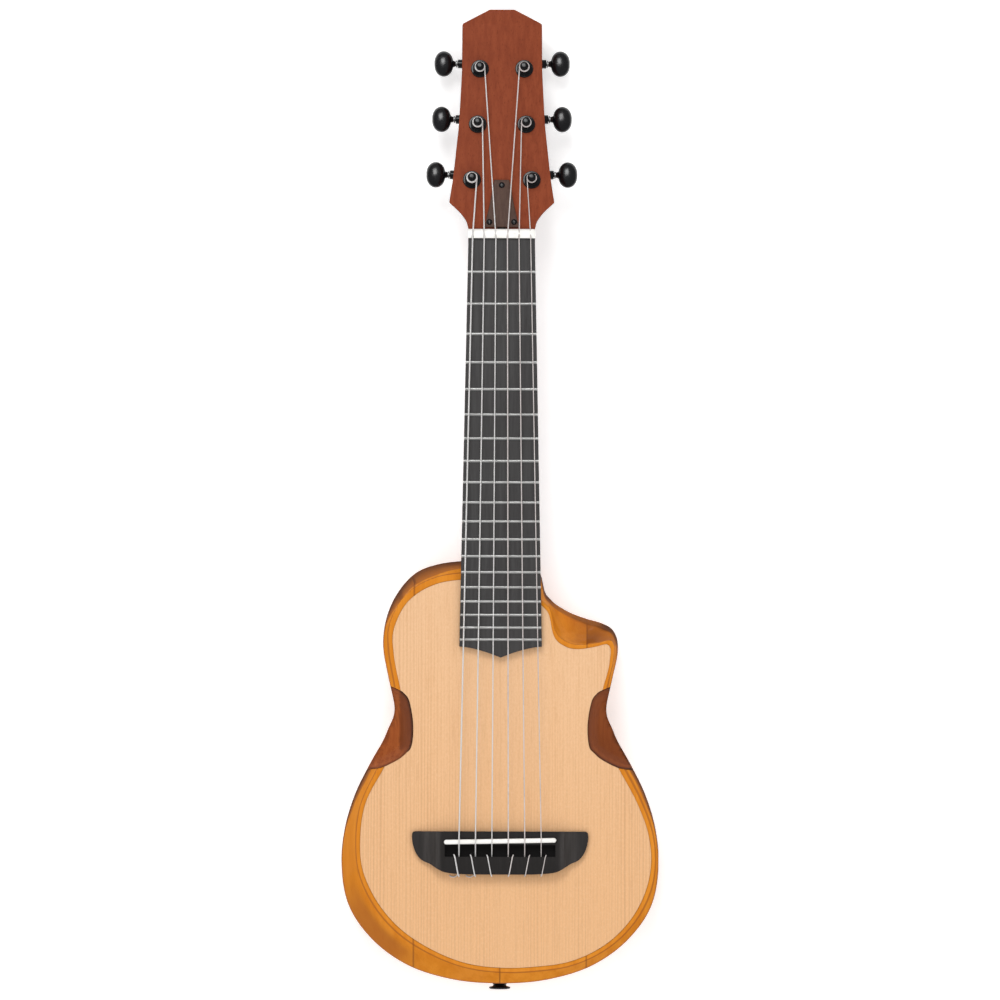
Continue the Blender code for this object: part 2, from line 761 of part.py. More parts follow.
def neck_section(half_width, depth, squareness):
    """Points around the neck: flat on top, round or square below, as (x, height)."""
    lower = 10
    chamfer = HEAD_EDGE_CHAMFER
    square = [(1, 0), (1, 0.5), (1, 1 - chamfer / depth), (1 - chamfer / half_width, 1), (0.4, 1), (0, 1)]
    square += [(-x, z) for x, z in reversed(square[:-1])]
    points = []
    for i in range(lower + 1):
        angle = math.pi * i / lower
        flat_x, flat_z = square[i]
        round_x = math.copysign(abs(math.cos(angle)) ** 0.8, math.cos(angle))
        round_z = math.sin(angle) ** 0.8
        x = round_x + (flat_x - round_x) * squareness
        z = round_z + (flat_z - round_z) * squareness
        points.append((half_width * x, -depth * z))
    return points


def neck_mesh(name):
    """One skin from the heel over the neck to the headstock's tip."""
    bm = bmesh.new()
    growth = HEEL_DEPTH - NECK_DEPTH_AT_HEEL
    stations = [(JOINT - SEAM - HEEL_LENGTH * share, NECK_DEPTH_AT_HEEL + growth * rise)
                for share, rise in ((0, 1), (0.2, 0.84), (0.4, 0.52), (0.62, 0.24), (1, 0.04))]
    stations += [(JOINT / 2, (NECK_DEPTH_AT_HEEL + NECK_DEPTH_AT_NUT) / 2),
                 (NUT_THICKNESS * 2, NECK_DEPTH_AT_NUT)]
    rings = []
    for away, depth in stations:
        section = neck_section(fretboard_half_width(away), depth, 0)
        rings.append([at(x, -away, TOP + z) for x, z in section])
    head = [(0.0, NUT_WIDTH / 2), *HEAD_OUTLINE, (HEAD_LENGTH, HEAD_TIP_HALF_WIDTH)]
    for step, (along, half_width) in enumerate(head):
        section = neck_section(half_width, HEAD_THICKNESS, min(1, 0.3 + step * 0.35))
        rings.append([HEAD_PLANE @ Vector((x, along, z)) for x, z in section])
    add_loft(bm, rings)
    return finish_mesh(bm, name, smooth=True)


def neck_cut_mesh(name):
    """Channel and pocket of the truss rod, as one cutter."""
    bm = bmesh.new()
    half = ROD_RADIUS + GAP
    floor = TOP - ROD_AXIS_DEPTH - ROD_RADIUS - GAP
    add_box(bm, at(-half, -ROD_END - GAP, floor), at(half, NUT_THICKNESS + CUT / 2, TOP + CUT))
    return finish_mesh(bm, name)


def head_holes_mesh(name):
    """Holes for the six bushings and the cover's screws, in the headstock's plane."""
    bm = bmesh.new()
    for x, along in tuner_spots().values():
        add_rod(bm, (x, along, -HEAD_THICKNESS - CUT), (x, along, CUT), BUSHING_SLEEVE_RADIUS + GAP)
    for x, along in COVER_SCREWS.values():
        add_rod(bm, (x, along, -COVER_SCREW_LENGTH), (x, along, CUT), COVER_SCREW_RADIUS + GAP, 8)
    return finish_mesh(bm, name)


def build_neck(head_plane):
    neck = add_object("neck", neck_mesh("neck"), "neck_wood")
    channel = add_guide("rod_channel_cut", neck_cut_mesh("rod_channel_cut"))
    room = box("rod_pocket_cut", (-POCKET_HALF_WIDTH, POCKET_START, -POCKET_DEPTH),
               (POCKET_HALF_WIDTH, POCKET_LENGTH, CUT))
    pocket = add_guide("rod_pocket_cut", room, head_plane)
    holes = add_guide("head_holes_cut", head_holes_mesh("head_holes_cut"), head_plane)
    for cutter in (channel, pocket, holes):
        boolean(neck, "DIFFERENCE", cutter)


def fretboard_profile():
    """Side view of the fretboard with its frets, as (distance from the nut, height) points."""
    crown = ((-0.5, 0.0), (-0.36, 0.72), (-0.12, 1.0), (0.12, 1.0), (0.36, 0.72), (0.5, 0.0))
    points = [(GAP, TOP + GAP), (GAP, FRETBOARD_TOP)]
    for fret in range(1, FRET_COUNT + 1):
        away = SCALE_LENGTH * (1 - 2 ** (-fret / 12))
        points += [(away + FRET_WIDTH * across, FRETBOARD_TOP + FRET_HEIGHT * up) for across, up in crown]
    end = FRETBOARD_LENGTH + FRETBOARD_TIP + CUT
    return points + [(end, FRETBOARD_TOP), (end, TOP + GAP)]


def build_fretboard():
    bm = bmesh.new()
    reach = FRETBOARD_END_WIDTH
    points = [at(-reach, -away, z) for away, z in fretboard_profile()]
    extrude_outline(bm, points, (2 * reach, 0, 0))
    fretboard = add_object("fretboard", finish_mesh(bm, "fretboard"), "ebony")
    end = FRETBOARD_END_WIDTH / 2
    tip = [(end * (1 - share), FRETBOARD_LENGTH + FRETBOARD_TIP * share ** 1.6)
           for share in (0, 0.25, 0.5, 0.75, 1)]
    half = [(NUT_WIDTH / 2 - GAP, 0.0), *tip]
    plan = add_guide("fretboard_plan", prism("fretboard_plan", mirrored(half), TOP, FRET_TOP + CUT))
    boolean(fretboard, "INTERSECT", plan)


# Strings: (string number, tuner row from the nut, side), bass to treble
STRING_COUNT = len(STRING_RADII)
STRINGS = [(number, min(STRING_COUNT - number, number - 1), -1 if number > STRING_COUNT / 2 else 1)
           for number in range(STRING_COUNT, 0, -1)]


def tuner_spots():
    """Post centres in the headstock's plane, by string number."""
    return {number: (side * TUNER_SPREADS[row], TUNER_FIRST + TUNER_PITCH * row)
            for number, row, side in STRINGS}


def string_radius(number):
    return STRING_RADII[STRING_COUNT - number]


def string_offset(number, pitch):
    """Distance from the centreline, where neighbouring strings lie one pitch apart."""
    return ((STRING_COUNT + 1) / 2 - number) * pitch


def nut_point(number):
    """Where the string leaves the nut's front edge."""
    height = FRET_TOP + STRING_OVER_FIRST_FRET + string_radius(number)
    return at(string_offset(number, NUT_STRING_PITCH), 0, height)


def saddle_away(x):
    """Distance of the saddle's middle from the nut, which the slant changes across the bridge."""
    return SCALE_LENGTH + GAP - x * math.tan(math.radians(SADDLE_SLANT))


def wrap_radius(number):
    return POST_RADIUS + GAP + string_radius(number)


def winding_pitch(number):
    return 2 * string_radius(number) + WINDING_GAP


def post_arrival(number):
    """Height on the post at which the string arrives, above the bushing and the post's foot."""
    return BUSHING_HEIGHT + GAP + POST_FOOT_HEIGHT + string_radius(number)


def arrival_angle(number, side):
    """Bearing around the post at which the string touches it, on the side of the centreline."""
    x, along = tuner_spots()[number]
    start = HEAD_PLANE.inverted() @ nut_point(number)
    line = Vector((start.x - x, start.y - along))
    return math.atan2(line.y, line.x) - side * math.acos(wrap_radius(number) / line.length)


def post_wrap(number, side):
    """The string's first stretch round the post, below its turns, in world points."""
    x, along = tuner_spots()[number]
    radius = wrap_radius(number)
    start = arrival_angle(number, side)
    points = []
    for step in range(7):
        angle = start - side * math.radians(15) * step
        points.append(HEAD_PLANE @ Vector((x + radius * math.cos(angle), along + radius * math.sin(angle),
                                           post_arrival(number))))
    return points


def tie_points(number, side):
    """From the saddle through the tie block's hole and back over the block."""
    radius = string_radius(number)
    x = string_offset(number, SADDLE_STRING_PITCH)
    base = TOP + GAP
    hole = base + TIE_HOLE_HEIGHT
    over = base + BRIDGE_HEIGHT + GAP + radius
    trough = SCALE_LENGTH + TROUGH_BACK
    behind = SCALE_LENGTH + BRIDGE_BACK + GAP + radius + TIE_BEND
    before = trough - GAP - radius - TIE_BEND
    loop_x = x + side * TIE_LOOP_SHIFT
    crown = saddle_away(x)
    return [
        at(x, SADDLE_THICKNESS / 2 - crown, SADDLE_TOP + GAP + radius),
        at(x, -crown - SADDLE_THICKNESS / 2 - radius * 0.7, SADDLE_TOP + GAP + radius),
        at(x, -trough + 4 * TIE_BEND, hole + 2 * TIE_BEND),
        at(x, -trough + TIE_BEND / 3, hole),
        at(x, -behind + 2 * TIE_BEND, hole),
        at(x, -behind, hole + TIE_BEND),
        at(x, -behind, over - 2 * TIE_BEND),
        at(x + side * TIE_BEND, -behind + 2 * TIE_BEND, over),
        at(loop_x - side * TIE_BEND, -before - 2 * TIE_BEND, over),
        at(loop_x, -before, over - 2 * TIE_BEND),
        at(loop_x, -before, over - 4 * TIE_BEND),
    ]


def build_strings():
    """Each string runs from its post over the nut and the saddle to the tie block."""
    for number, _row, side in STRINGS:
        points = list(reversed(post_wrap(number, side)))
        edge = Vector((0, NUT_CROWN / 3, 0))
        points += [nut_point(number) + edge, nut_point(number) - edge]
        points += tie_points(number, side)
        tube_curve(f"string_{number}", points, string_radius(number), "nylon")


def winding_points(number, side):
    """Turns of a string on its post, around the post's own origin; the end goes into the post's hole."""
    radius = wrap_radius(number)
    pitch = winding_pitch(number)
    start = arrival_angle(number, side)
    low = post_arrival(number) + pitch
    bend = 0.0010
    last = start - side * math.tau * WINDING_TURNS
    steps = WINDING_TURNS * POINTS_PER_TURN
    points = []
    for step in range(steps + 1):
        share = step / steps
        angle = start + (last - start) * share
        points.append(Vector((radius * math.cos(angle), radius * math.sin(angle),
                              low + pitch * WINDING_TURNS * share)))
    lead = (points[0] - points[1]).normalized()
    points.insert(0, points[0] + lead * 2 * string_radius(number))
    inward = winding_end_angle(number, side)
    direction = Vector((math.cos(inward), math.sin(inward), 0))
    high = low + pitch * WINDING_TURNS
    points.append(direction * (radius - bend * 0.15) + Vector((0, 0, high)))
    points.append(direction * (radius - bend) + Vector((0, 0, high)))
    points.append(direction * (radius - bend - 2 * string_radius(number)) + Vector((0, 0, high)))
    return points


def winding_end_angle(number, side):
    """Bearing of the post's hole, just past the last full turn."""
    return arrival_angle(number, side) - side * (math.tau * WINDING_TURNS + math.radians(17))


def winding_end_height(number):
    return post_arrival(number) + winding_pitch(number) * (WINDING_TURNS + 1)


def print_winding_gap(number, points):
    """Prints the least gap between turns, measured between points half a turn or more apart."""
    apart = POINTS_PER_TURN // 2
    least = min((a - b).length for i, a in enumerate(points) for b in points[i + apart:])
    print(f"winding_{number}: least gap {1000 * (least - 2 * string_radius(number)):.2f} mm")


def build_nut():
    """The nut with a slot under each string, falling toward its post."""
    bm = bmesh.new()
    half = NUT_WIDTH / 2
    front, back = -GAP / 2, NUT_THICKNESS - GAP
    base, top = TOP + GAP, TOP + NUT_HEIGHT
    profile = [(front, base), (front, top), (front + NUT_CROWN, top),
               (back - NUT_CROWN / 2, top - NUT_BACK_DROP / 2), (back, top - NUT_BACK_DROP), (back, base)]
    extrude_outline(bm, [at(-half, along, z) for along, z in profile], (NUT_WIDTH, 0, 0))
    nut = add_object("nut", finish_mesh(bm, "nut"), "bone")
    bm = bmesh.new()
    for number, _row, side in STRINGS:
        start = nut_point(number)
        end = post_wrap(number, side)[0]
        line = (end - start).normalized()
        across = Vector((0, 0, 1)).cross(line).normalized()
        up = line.cross(across)
        radius = string_radius(number)
        corners = []
        for width, height in ((-1, -1), (1, -1), (1, 4), (-1, 4)):
            corners.append(start - line * CUT + (across * width + up * height) * (radius + GAP))
        extrude_outline(bm, corners, line * 3 * CUT)
    slots = add_guide("nut_slots_cut", finish_mesh(bm, "nut_slots_cut"))
    boolean(nut, "DIFFERENCE", slots)


# Bridge

def build_bridge():
    base = TOP + GAP
    top = base + BRIDGE_HEIGHT
    front, back = SCALE_LENGTH + BRIDGE_FRONT, SCALE_LENGTH + BRIDGE_BACK
    outline = [(x, SCALE_LENGTH + behind) for x, behind in mirrored(BRIDGE_OUTLINE)]
    bridge = add_object("bridge", prism("bridge", outline, base, top), "ebony")
    bm = bmesh.new()
    reach = BRIDGE_OUTLINE[2][0] + CUT
    for side in (-1, 1):
        wing = [(WING_START, top + CUT), (WING_START, top), (WING_SLOPE_END, base + WING_HEIGHT),
                (reach, base + WING_HEIGHT * 0.75), (reach, top + CUT)]
        points = [at(side * x, -back - CUT, z) for x, z in wing]
        extrude_outline(bm, points, (0, back - front + 2 * CUT, 0))
    boolean(bridge, "DIFFERENCE", add_guide("wings_cut", finish_mesh(bm, "wings_cut")))
    behind = SCALE_LENGTH + TROUGH_BACK
    trough = box("trough_cut", at(-TROUGH_HALF_LENGTH, -behind, base + TROUGH_FLOOR),
                 at(TROUGH_HALF_LENGTH, -SCALE_LENGTH - TROUGH_FRONT, top + CUT))
    boolean(bridge, "DIFFERENCE", add_guide("trough_cut", trough))
    slot = saddle_mesh("saddle_slot_cut", GAP, base + SADDLE_SLOT_FLOOR, top + CUT)
    boolean(bridge, "DIFFERENCE", add_guide("saddle_slot_cut", slot))
    bm = bmesh.new()
    for number, _row, _side in STRINGS:
        x = string_offset(number, SADDLE_STRING_PITCH)
        add_rod(bm, at(x, -behind + TIE_BEND, base + TIE_HOLE_HEIGHT),
                at(x, -back - CUT, base + TIE_HOLE_HEIGHT), TIE_HOLE_RADIUS, 8)
    boolean(bridge, "DIFFERENCE", add_guide("tie_holes_cut", finish_mesh(bm, "tie_holes_cut")))
    saddle = saddle_mesh("saddle", 0, base + SADDLE_SLOT_FLOOR + GAP, SADDLE_TOP)
    add_object("saddle", saddle, "bone")


def saddle_mesh(name, grow, low, high):
    """Slanted bar with round ends, made larger by grow all round."""
    radius = SADDLE_THICKNESS / 2 + grow
    middle = SADDLE_LENGTH / 2 - SADDLE_THICKNESS / 2
    outline = []
    for end in (1, -1):
        for step in range(7):
            angle = math.radians(90 - 30 * step) if end == 1 else math.radians(-90 - 30 * step)
            outline.append((end * middle + radius * math.cos(angle), radius * math.sin(angle)))
    slant = math.radians(SADDLE_SLANT)
    turned_outline = [(x * math.cos(slant) - y * math.sin(slant), x * math.sin(slant) + y * math.cos(slant))
                      for x, y in outline]
    return prism(name, [(x, SCALE_LENGTH + GAP - y) for x, y in turned_outline], low, high)


# Tuning machines, each around its post's axis; x is the way out to the button

def sided_mesh(bm, name, side, smooth=False):
    """Finishes what is drawn for the treble side, as its mirror image on the bass side."""
    if side < 0:
        bmesh.ops.scale(bm, vec=(-1, 1, 1), verts=bm.verts)
    return finish_mesh(bm, name, smooth)


def sided_rod(name, side, start, end, radius, sides=ROUND):
    bm = bmesh.new()
    add_rod(bm, start, end, radius, sides)
    return sided_mesh(bm, name, side)


def bushing_mesh(name):
    """Washer, hexagon head and sleeve round the bore for the post."""
    bm = bmesh.new()
    bore = POST_SHAFT_RADIUS + GAP
    washer_top = GAP + WASHER_THICKNESS
    profile = [
        (bore, -BUSHING_SLEEVE_LENGTH),
        (bore, BUSHING_HEIGHT),
        (BUSHING_HEAD_RADIUS - BUSHING_CHAMFER, BUSHING_HEIGHT),
        (BUSHING_HEAD_RADIUS, BUSHING_HEIGHT - BUSHING_CHAMFER),
        (BUSHING_HEAD_RADIUS, washer_top),
        (WASHER_RADIUS - TURNED_EDGE, washer_top),
        (WASHER_RADIUS, washer_top - TURNED_EDGE),
        (WASHER_RADIUS, GAP),
        (BUSHING_SLEEVE_RADIUS, GAP),
        (BUSHING_SLEEVE_RADIUS, -BUSHING_SLEEVE_LENGTH),
    ]
    turned_tube(bm, profile)
    return finish_mesh(bm, name, smooth=True)


def post_meshes(name, number):
    """String post and its gear, one mesh each, drawn from the gear up."""
    bm = bmesh.new()
    middle = -HEAD_THICKNESS - WORM_DEPTH
    foot = BUSHING_HEIGHT + GAP
    waist_top = winding_end_height(number) + POST_HOLE_RADIUS + GAP
    rim = max(POST_HEIGHT - POST_CAP_HEIGHT, waist_top + POST_RIM)
    profile = [
        (POST_SHAFT_RADIUS, middle + GEAR_THICKNESS / 4),
        (POST_SHAFT_RADIUS, foot),
        (POST_SHAFT_RADIUS + POST_RIM, foot),
        (POST_SHAFT_RADIUS + POST_RIM, foot + POST_FOOT_HEIGHT / 2),
        (POST_RADIUS, foot + POST_FOOT_HEIGHT),
        (POST_RADIUS, waist_top),
        (POST_RADIUS + POST_RIM, rim),
        (POST_RADIUS, rim + POST_CAP_HEIGHT / 2),
        (POST_RADIUS / 2, rim + POST_CAP_HEIGHT),
    ]
    turned(bm, profile)
    shaft = finish_mesh(bm, name, smooth=True)
    bm = bmesh.new()
    gear = []
    for tooth in range(GEAR_TEETH):
        for share, radius in ((0.0, GEAR_RADIUS), (0.5, GEAR_RADIUS - GEAR_TOOTH_HEIGHT)):
            angle = math.tau * (tooth + share) / GEAR_TEETH
            gear.append((radius * math.cos(angle), radius * math.sin(angle), middle - GEAR_THICKNESS / 2))
    extrude_outline(bm, gear, (0, 0, GEAR_THICKNESS))
    return shaft, finish_mesh(bm, f"{name}_gear")


def snout_end():
    """Distance from the post's axis to the end of the housing's snout."""
    return BUTTON_REACH - BUTTON_SIZE[0] / 2 - BUTTON_NECK_LENGTH


def button_mesh(name, side):
    """Worm, shaft, collar and oval button around +X, from the worm's middle."""
    angles = [math.tau * i / BUTTON_SIDES for i in range(BUTTON_SIDES)]
    half = WORM_LENGTH / 2
    rings = [(-half - WORM_END, [BUTTON_SHAFT_RADIUS] * BUTTON_SIDES)]
    for step in range(WORM_THREAD_TURNS * WORM_RINGS_PER_TURN + 1):
        turns = step / WORM_RINGS_PER_TURN
        crests = [(1 + math.cos(angle - math.tau * turns)) / 2 for angle in angles]
        radii = [WORM_ROOT_RADIUS + (WORM_RADIUS - WORM_ROOT_RADIUS) * crest for crest in crests]
        rings.append((WORM_LENGTH * turns / WORM_THREAD_TURNS - half, radii))
    collar = snout_end() + GAP
    collar_end = collar + BUTTON_COLLAR_LENGTH
    neck_end = snout_end() + BUTTON_NECK_LENGTH - TURNED_EDGE
    for x, radius in ((half + WORM_END, BUTTON_SHAFT_RADIUS), (collar, BUTTON_SHAFT_RADIUS),
                      (collar, BUTTON_COLLAR_RADIUS), (collar_end, BUTTON_COLLAR_RADIUS),
                      (collar_end + TURNED_EDGE, BUTTON_NECK_RADIUS), (neck_end, BUTTON_NECK_RADIUS)):
        rings.append((x, [radius] * BUTTON_SIDES))
    loops = [[Vector((x, r * math.cos(a), r * math.sin(a))) for r, a in zip(radii, angles)]
             for x, radii in rings]
    length, height, thickness = BUTTON_SIZE
    for share in (0.07, 0.25, 0.5, 0.75, 0.93, 1.0):
        swell = math.sqrt(max(0.03, 1 - (2 * share - 1) ** 2)) / 2
        x = BUTTON_REACH - length / 2 + length * share
        loops.append([Vector((x, height * swell * math.cos(a), thickness * swell * math.sin(a)))
                      for a in angles])
    bm = bmesh.new()
    add_loft(bm, loops)
    return sided_mesh(bm, name, side, smooth=True)


def housing_parts(name, side):
    """Housing behind the headstock: its block, what is added to it and what is cut from it."""
    top = -HEAD_THICKNESS - GAP
    bottom = -HEAD_THICKNESS - HOUSING_DEPTH
    axis = -HEAD_THICKNESS - WORM_DEPTH
    inner = GEAR_RADIUS + GAP
    half = inner + HOUSING_WALL
    worm_room = WORM_RADIUS + GAP
    far = WORM_OFFSET + worm_room + HOUSING_WALL
    corner = HOUSING_CORNER
    bm = bmesh.new()
    outline = [(half, corner - half), (half, far - corner), (half - corner, far), (corner - half, far),
               (-half, far - corner), (-half, corner - half), (corner - half, -half), (half - corner, -half)]
    extrude_outline(bm, [(x, y, top) for x, y in outline], (0, 0, bottom - top))
    block = sided_mesh(bm, name, side)
    snout = sided_rod(f"{name}_snout", side, (half / 2, WORM_OFFSET, axis), (snout_end(), WORM_OFFSET, axis),
                      SNOUT_RADIUS)
    tab_y = -half - TAB_RADIUS / 2
    tab = sided_rod(f"{name}_tab", side, (0, tab_y, top), (0, tab_y, top - TAB_THICKNESS), TAB_RADIUS)
    gear_bottom = axis - GEAR_THICKNESS / 2 - GAP
    gear_room = sided_rod(f"{name}_gear_room", side, (0, 0, top + CUT), (0, 0, gear_bottom), inner, 16)
    bm = bmesh.new()
    room_half = WORM_LENGTH / 2 + WORM_END + GAP
    add_box(bm, (-room_half, WORM_OFFSET - worm_room, axis - worm_room),
            (room_half, WORM_OFFSET + worm_room, top + CUT))
    worm_cut = sided_mesh(bm, f"{name}_worm_room", side)
    bore = sided_rod(f"{name}_bore", side, (0, WORM_OFFSET, axis), (snout_end() + CUT, WORM_OFFSET, axis),
                     BUTTON_SHAFT_RADIUS + GAP, 8)
    return block, (snout, tab), (gear_room, worm_cut, bore)


def build_tuner(number, side, head_plane):
    """One tuning machine around its post's axis."""
    x, along = tuner_spots()[number]
    axis = add_empty(f"tuner_axis_{number}", head_plane, Matrix.Translation((x, along, 0)))
    add_object(f"tuner_bushing_{number}", bushing_mesh("bushing"), "black_metal", axis)

    block, added, cut = housing_parts("housing", side)
    housing = add_object(f"tuner_housing_{number}", block, "black_metal", axis)
    for mesh in added:
        boolean(housing, "UNION", add_guide(f"{mesh.name}_{number}_form", mesh, axis))
    for mesh in cut:
        boolean(housing, "DIFFERENCE", add_guide(f"{mesh.name}_{number}_cut", mesh, axis))

    shaft, gear = post_meshes("post", number)
    post = add_object(f"tuner_post_{number}", shaft, "black_metal", axis)
    boolean(post, "UNION", add_guide(f"gear_{number}_form", gear, axis))
    bm = bmesh.new()
    angle = winding_end_angle(number, side)
    height = winding_end_height(number)
    direction = Vector((math.cos(angle), math.sin(angle), 0))
    centre = Vector((0, 0, height))
    add_rod(bm, centre - direction * CUT, centre + direction * CUT, POST_HOLE_RADIUS, 8)
    boolean(post, "DIFFERENCE", add_guide(f"post_hole_{number}_cut", finish_mesh(bm, "post_hole"), axis))

    points = winding_points(number, side)
    print_winding_gap(number, points)
    tube_curve(f"winding_{number}", points, string_radius(number), "nylon", axis)

    shaft_place = (0, WORM_OFFSET, -HEAD_THICKNESS - WORM_DEPTH)
    add_object(f"tuner_button_{number}", button_mesh("button", side), "black_plastic", axis, shaft_place)


# Truss rod, its cover, and the strap button

def build_truss_rod():
    height = TOP - ROD_AXIS_DEPTH
    bm = bmesh.new()
    add_rod(bm, at(0, -ROD_END, height), at(0, NUT_THICKNESS, height), ROD_RADIUS)
    add_object("truss_rod", finish_mesh(bm, "truss_rod", smooth=True), "steel")
    bm = bmesh.new()
    profile = [
        (ROD_NUT_RADIUS - TURNED_EDGE, 0),
        (ROD_NUT_RADIUS, TURNED_EDGE),
        (ROD_NUT_RADIUS, ROD_NUT_LENGTH - TURNED_EDGE),
        (ROD_NUT_RADIUS - TURNED_EDGE, ROD_NUT_LENGTH),
        (ROD_NUT_SOCKET, ROD_NUT_LENGTH),
        (ROD_NUT_SOCKET, ROD_NUT_LENGTH * 0.4),
    ]
    turned(bm, profile, Matrix.Rotation(-math.pi / 2, 4, "X"))
    place = at(0, NUT_THICKNESS + GAP, height)
    add_object("truss_rod_nut", finish_mesh(bm, "truss_rod_nut", smooth=True), "steel", None, place)


def build_rod_cover(head_plane):
    """Cover over the rod's pocket, with its three screws."""
    bm = bmesh.new()
    outline = list(COVER_OUTLINE) + [(-x, y) for x, y in reversed(COVER_OUTLINE)]
    extrude_outline(bm, [(x, y, GAP) for x, y in outline], (0, 0, COVER_THICKNESS))
    cover = add_object("truss_rod_cover", finish_mesh(bm, "truss_rod_cover"), "cover_wood", head_plane)
    bm = bmesh.new()
    for x, along in COVER_SCREWS.values():
        add_rod(bm, (x, along, -CUT), (x, along, CUT), COVER_SCREW_RADIUS + GAP, 8)
    holes = add_guide("cover_holes_cut", finish_mesh(bm, "cover_holes_cut"), head_plane)
    boolean(cover, "DIFFERENCE", holes)
    seat = COVER_THICKNESS + 2 * GAP
    profile = [
        (COVER_SCREW_RADIUS / 2, seat - COVER_SCREW_LENGTH),
        (COVER_SCREW_RADIUS, seat - COVER_SCREW_LENGTH + SCREW_TIP),
        (COVER_SCREW_RADIUS, seat),
        (COVER_SCREW_HEAD_RADIUS, seat),
        (COVER_SCREW_HEAD_RADIUS, seat + TURNED_EDGE),
        (COVER_SCREW_HEAD_RADIUS / 2, seat + 2 * TURNED_EDGE),
    ]
    for name, (x, along) in COVER_SCREWS.items():
        bm = bmesh.new()
        turned(bm, profile)
        mesh = finish_mesh(bm, f"cover_screw_{name}", smooth=True)
        add_object(f"cover_screw_{name}", mesh, "black_metal", head_plane, (x, along, 0))


def build_strap_button():
    """Turned button and its screw, around the body's long axis on the tail."""
    out = Matrix.Rotation(math.pi / 2, 4, "X")
    place = at(0, -TAIL, PIN_HEIGHT)
    bore = PIN_SCREW_RADIUS + GAP
    head_bore = PIN_SCREW_HEAD_RADIUS + GAP
    profile = [
        (bore, GAP),
        (bore, PIN_REACH / 2),
        (head_bore, PIN_REACH / 2),
        (head_bore, PIN_REACH),
        (PIN_HEAD_RADIUS - 2 * TURNED_EDGE, PIN_REACH),
        (PIN_HEAD_RADIUS, PIN_REACH - 2 * TURNED_EDGE),
        (PIN_HEAD_RADIUS, PIN_REACH - PIN_HEAD_THICKNESS),
        (PIN_NECK_RADIUS, PIN_REACH - PIN_HEAD_THICKNESS - 2 * TURNED_EDGE),
        (PIN_BASE_RADIUS, GAP),
    ]
    bm = bmesh.new()
    turned_tube(bm, profile, out, 20)
    add_object("end_pin", finish_mesh(bm, "end_pin", smooth=True), "black_metal", None, place)
    seat = PIN_REACH / 2 + GAP
    profile = [
        (PIN_SCREW_RADIUS / 2, -PIN_SCREW_LENGTH),
        (PIN_SCREW_RADIUS, SCREW_TIP - PIN_SCREW_LENGTH),
        (PIN_SCREW_RADIUS, seat),
        (PIN_SCREW_HEAD_RADIUS, seat),
        (PIN_SCREW_HEAD_RADIUS, PIN_REACH - 2 * TURNED_EDGE),
        (PIN_SCREW_HEAD_RADIUS / 2, PIN_REACH - TURNED_EDGE),
    ]
    bm = bmesh.new()
    turned(bm, profile, out)
    add_object("end_pin_screw", finish_mesh(bm, "end_pin_screw", smooth=True), "black_metal", None, place)


def build_guitalele():
    clear_scene()
    head_plane = add_empty("headstock_plane", None, HEAD_PLANE)
    build_body()
    build_braces()
    build_bridge()
    build_neck(head_plane)
    build_fretboard()
    build_nut()
    build_strings()
    for number, _row, side in STRINGS:
        build_tuner(number, side, head_plane)
    build_truss_rod()
    build_rod_cover(head_plane)
    build_strap_button()


build_guitalele()
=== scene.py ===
"""A six-string guitalele with a scooped cutaway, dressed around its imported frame.

The instrument lies on its flat back with the soundboard up (+Z) and the headstock toward +Y. Lengths
are in metres. A place along the instrument is measured from the front edge of the nut, positive
toward the headstock's tip, and Layout.at turns it into a point of the frame.
"""
import logging
import math
from collections.abc import Callable, Iterator, Sequence
from contextlib import contextmanager
from dataclasses import dataclass
from enum import Enum
from functools import cache

import bmesh
import bpy
from mathutils import Matrix, Vector


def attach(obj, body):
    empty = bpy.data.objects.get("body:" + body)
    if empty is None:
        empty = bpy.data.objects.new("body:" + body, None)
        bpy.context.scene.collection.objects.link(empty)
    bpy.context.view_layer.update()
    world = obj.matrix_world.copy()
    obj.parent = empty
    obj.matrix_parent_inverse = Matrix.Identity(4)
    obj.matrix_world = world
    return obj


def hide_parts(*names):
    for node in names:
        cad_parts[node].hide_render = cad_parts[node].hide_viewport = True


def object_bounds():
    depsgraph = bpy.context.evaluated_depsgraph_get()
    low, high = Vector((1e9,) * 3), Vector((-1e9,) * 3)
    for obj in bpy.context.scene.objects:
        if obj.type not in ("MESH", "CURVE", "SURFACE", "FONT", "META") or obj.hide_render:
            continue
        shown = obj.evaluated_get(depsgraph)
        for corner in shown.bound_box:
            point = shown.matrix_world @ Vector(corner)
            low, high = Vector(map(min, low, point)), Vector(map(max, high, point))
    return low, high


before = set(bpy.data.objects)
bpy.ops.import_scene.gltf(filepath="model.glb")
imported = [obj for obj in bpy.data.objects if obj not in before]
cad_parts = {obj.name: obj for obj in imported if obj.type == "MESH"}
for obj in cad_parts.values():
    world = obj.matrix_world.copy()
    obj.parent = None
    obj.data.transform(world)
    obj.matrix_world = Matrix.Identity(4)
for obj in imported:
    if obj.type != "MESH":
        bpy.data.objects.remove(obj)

CAD_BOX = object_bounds()
LOG = logging.getLogger("guitalele")
Colour = tuple[float, float, float]
Plan = Sequence[tuple[float, float]]
Shape = bpy.types.Object


# Shared places

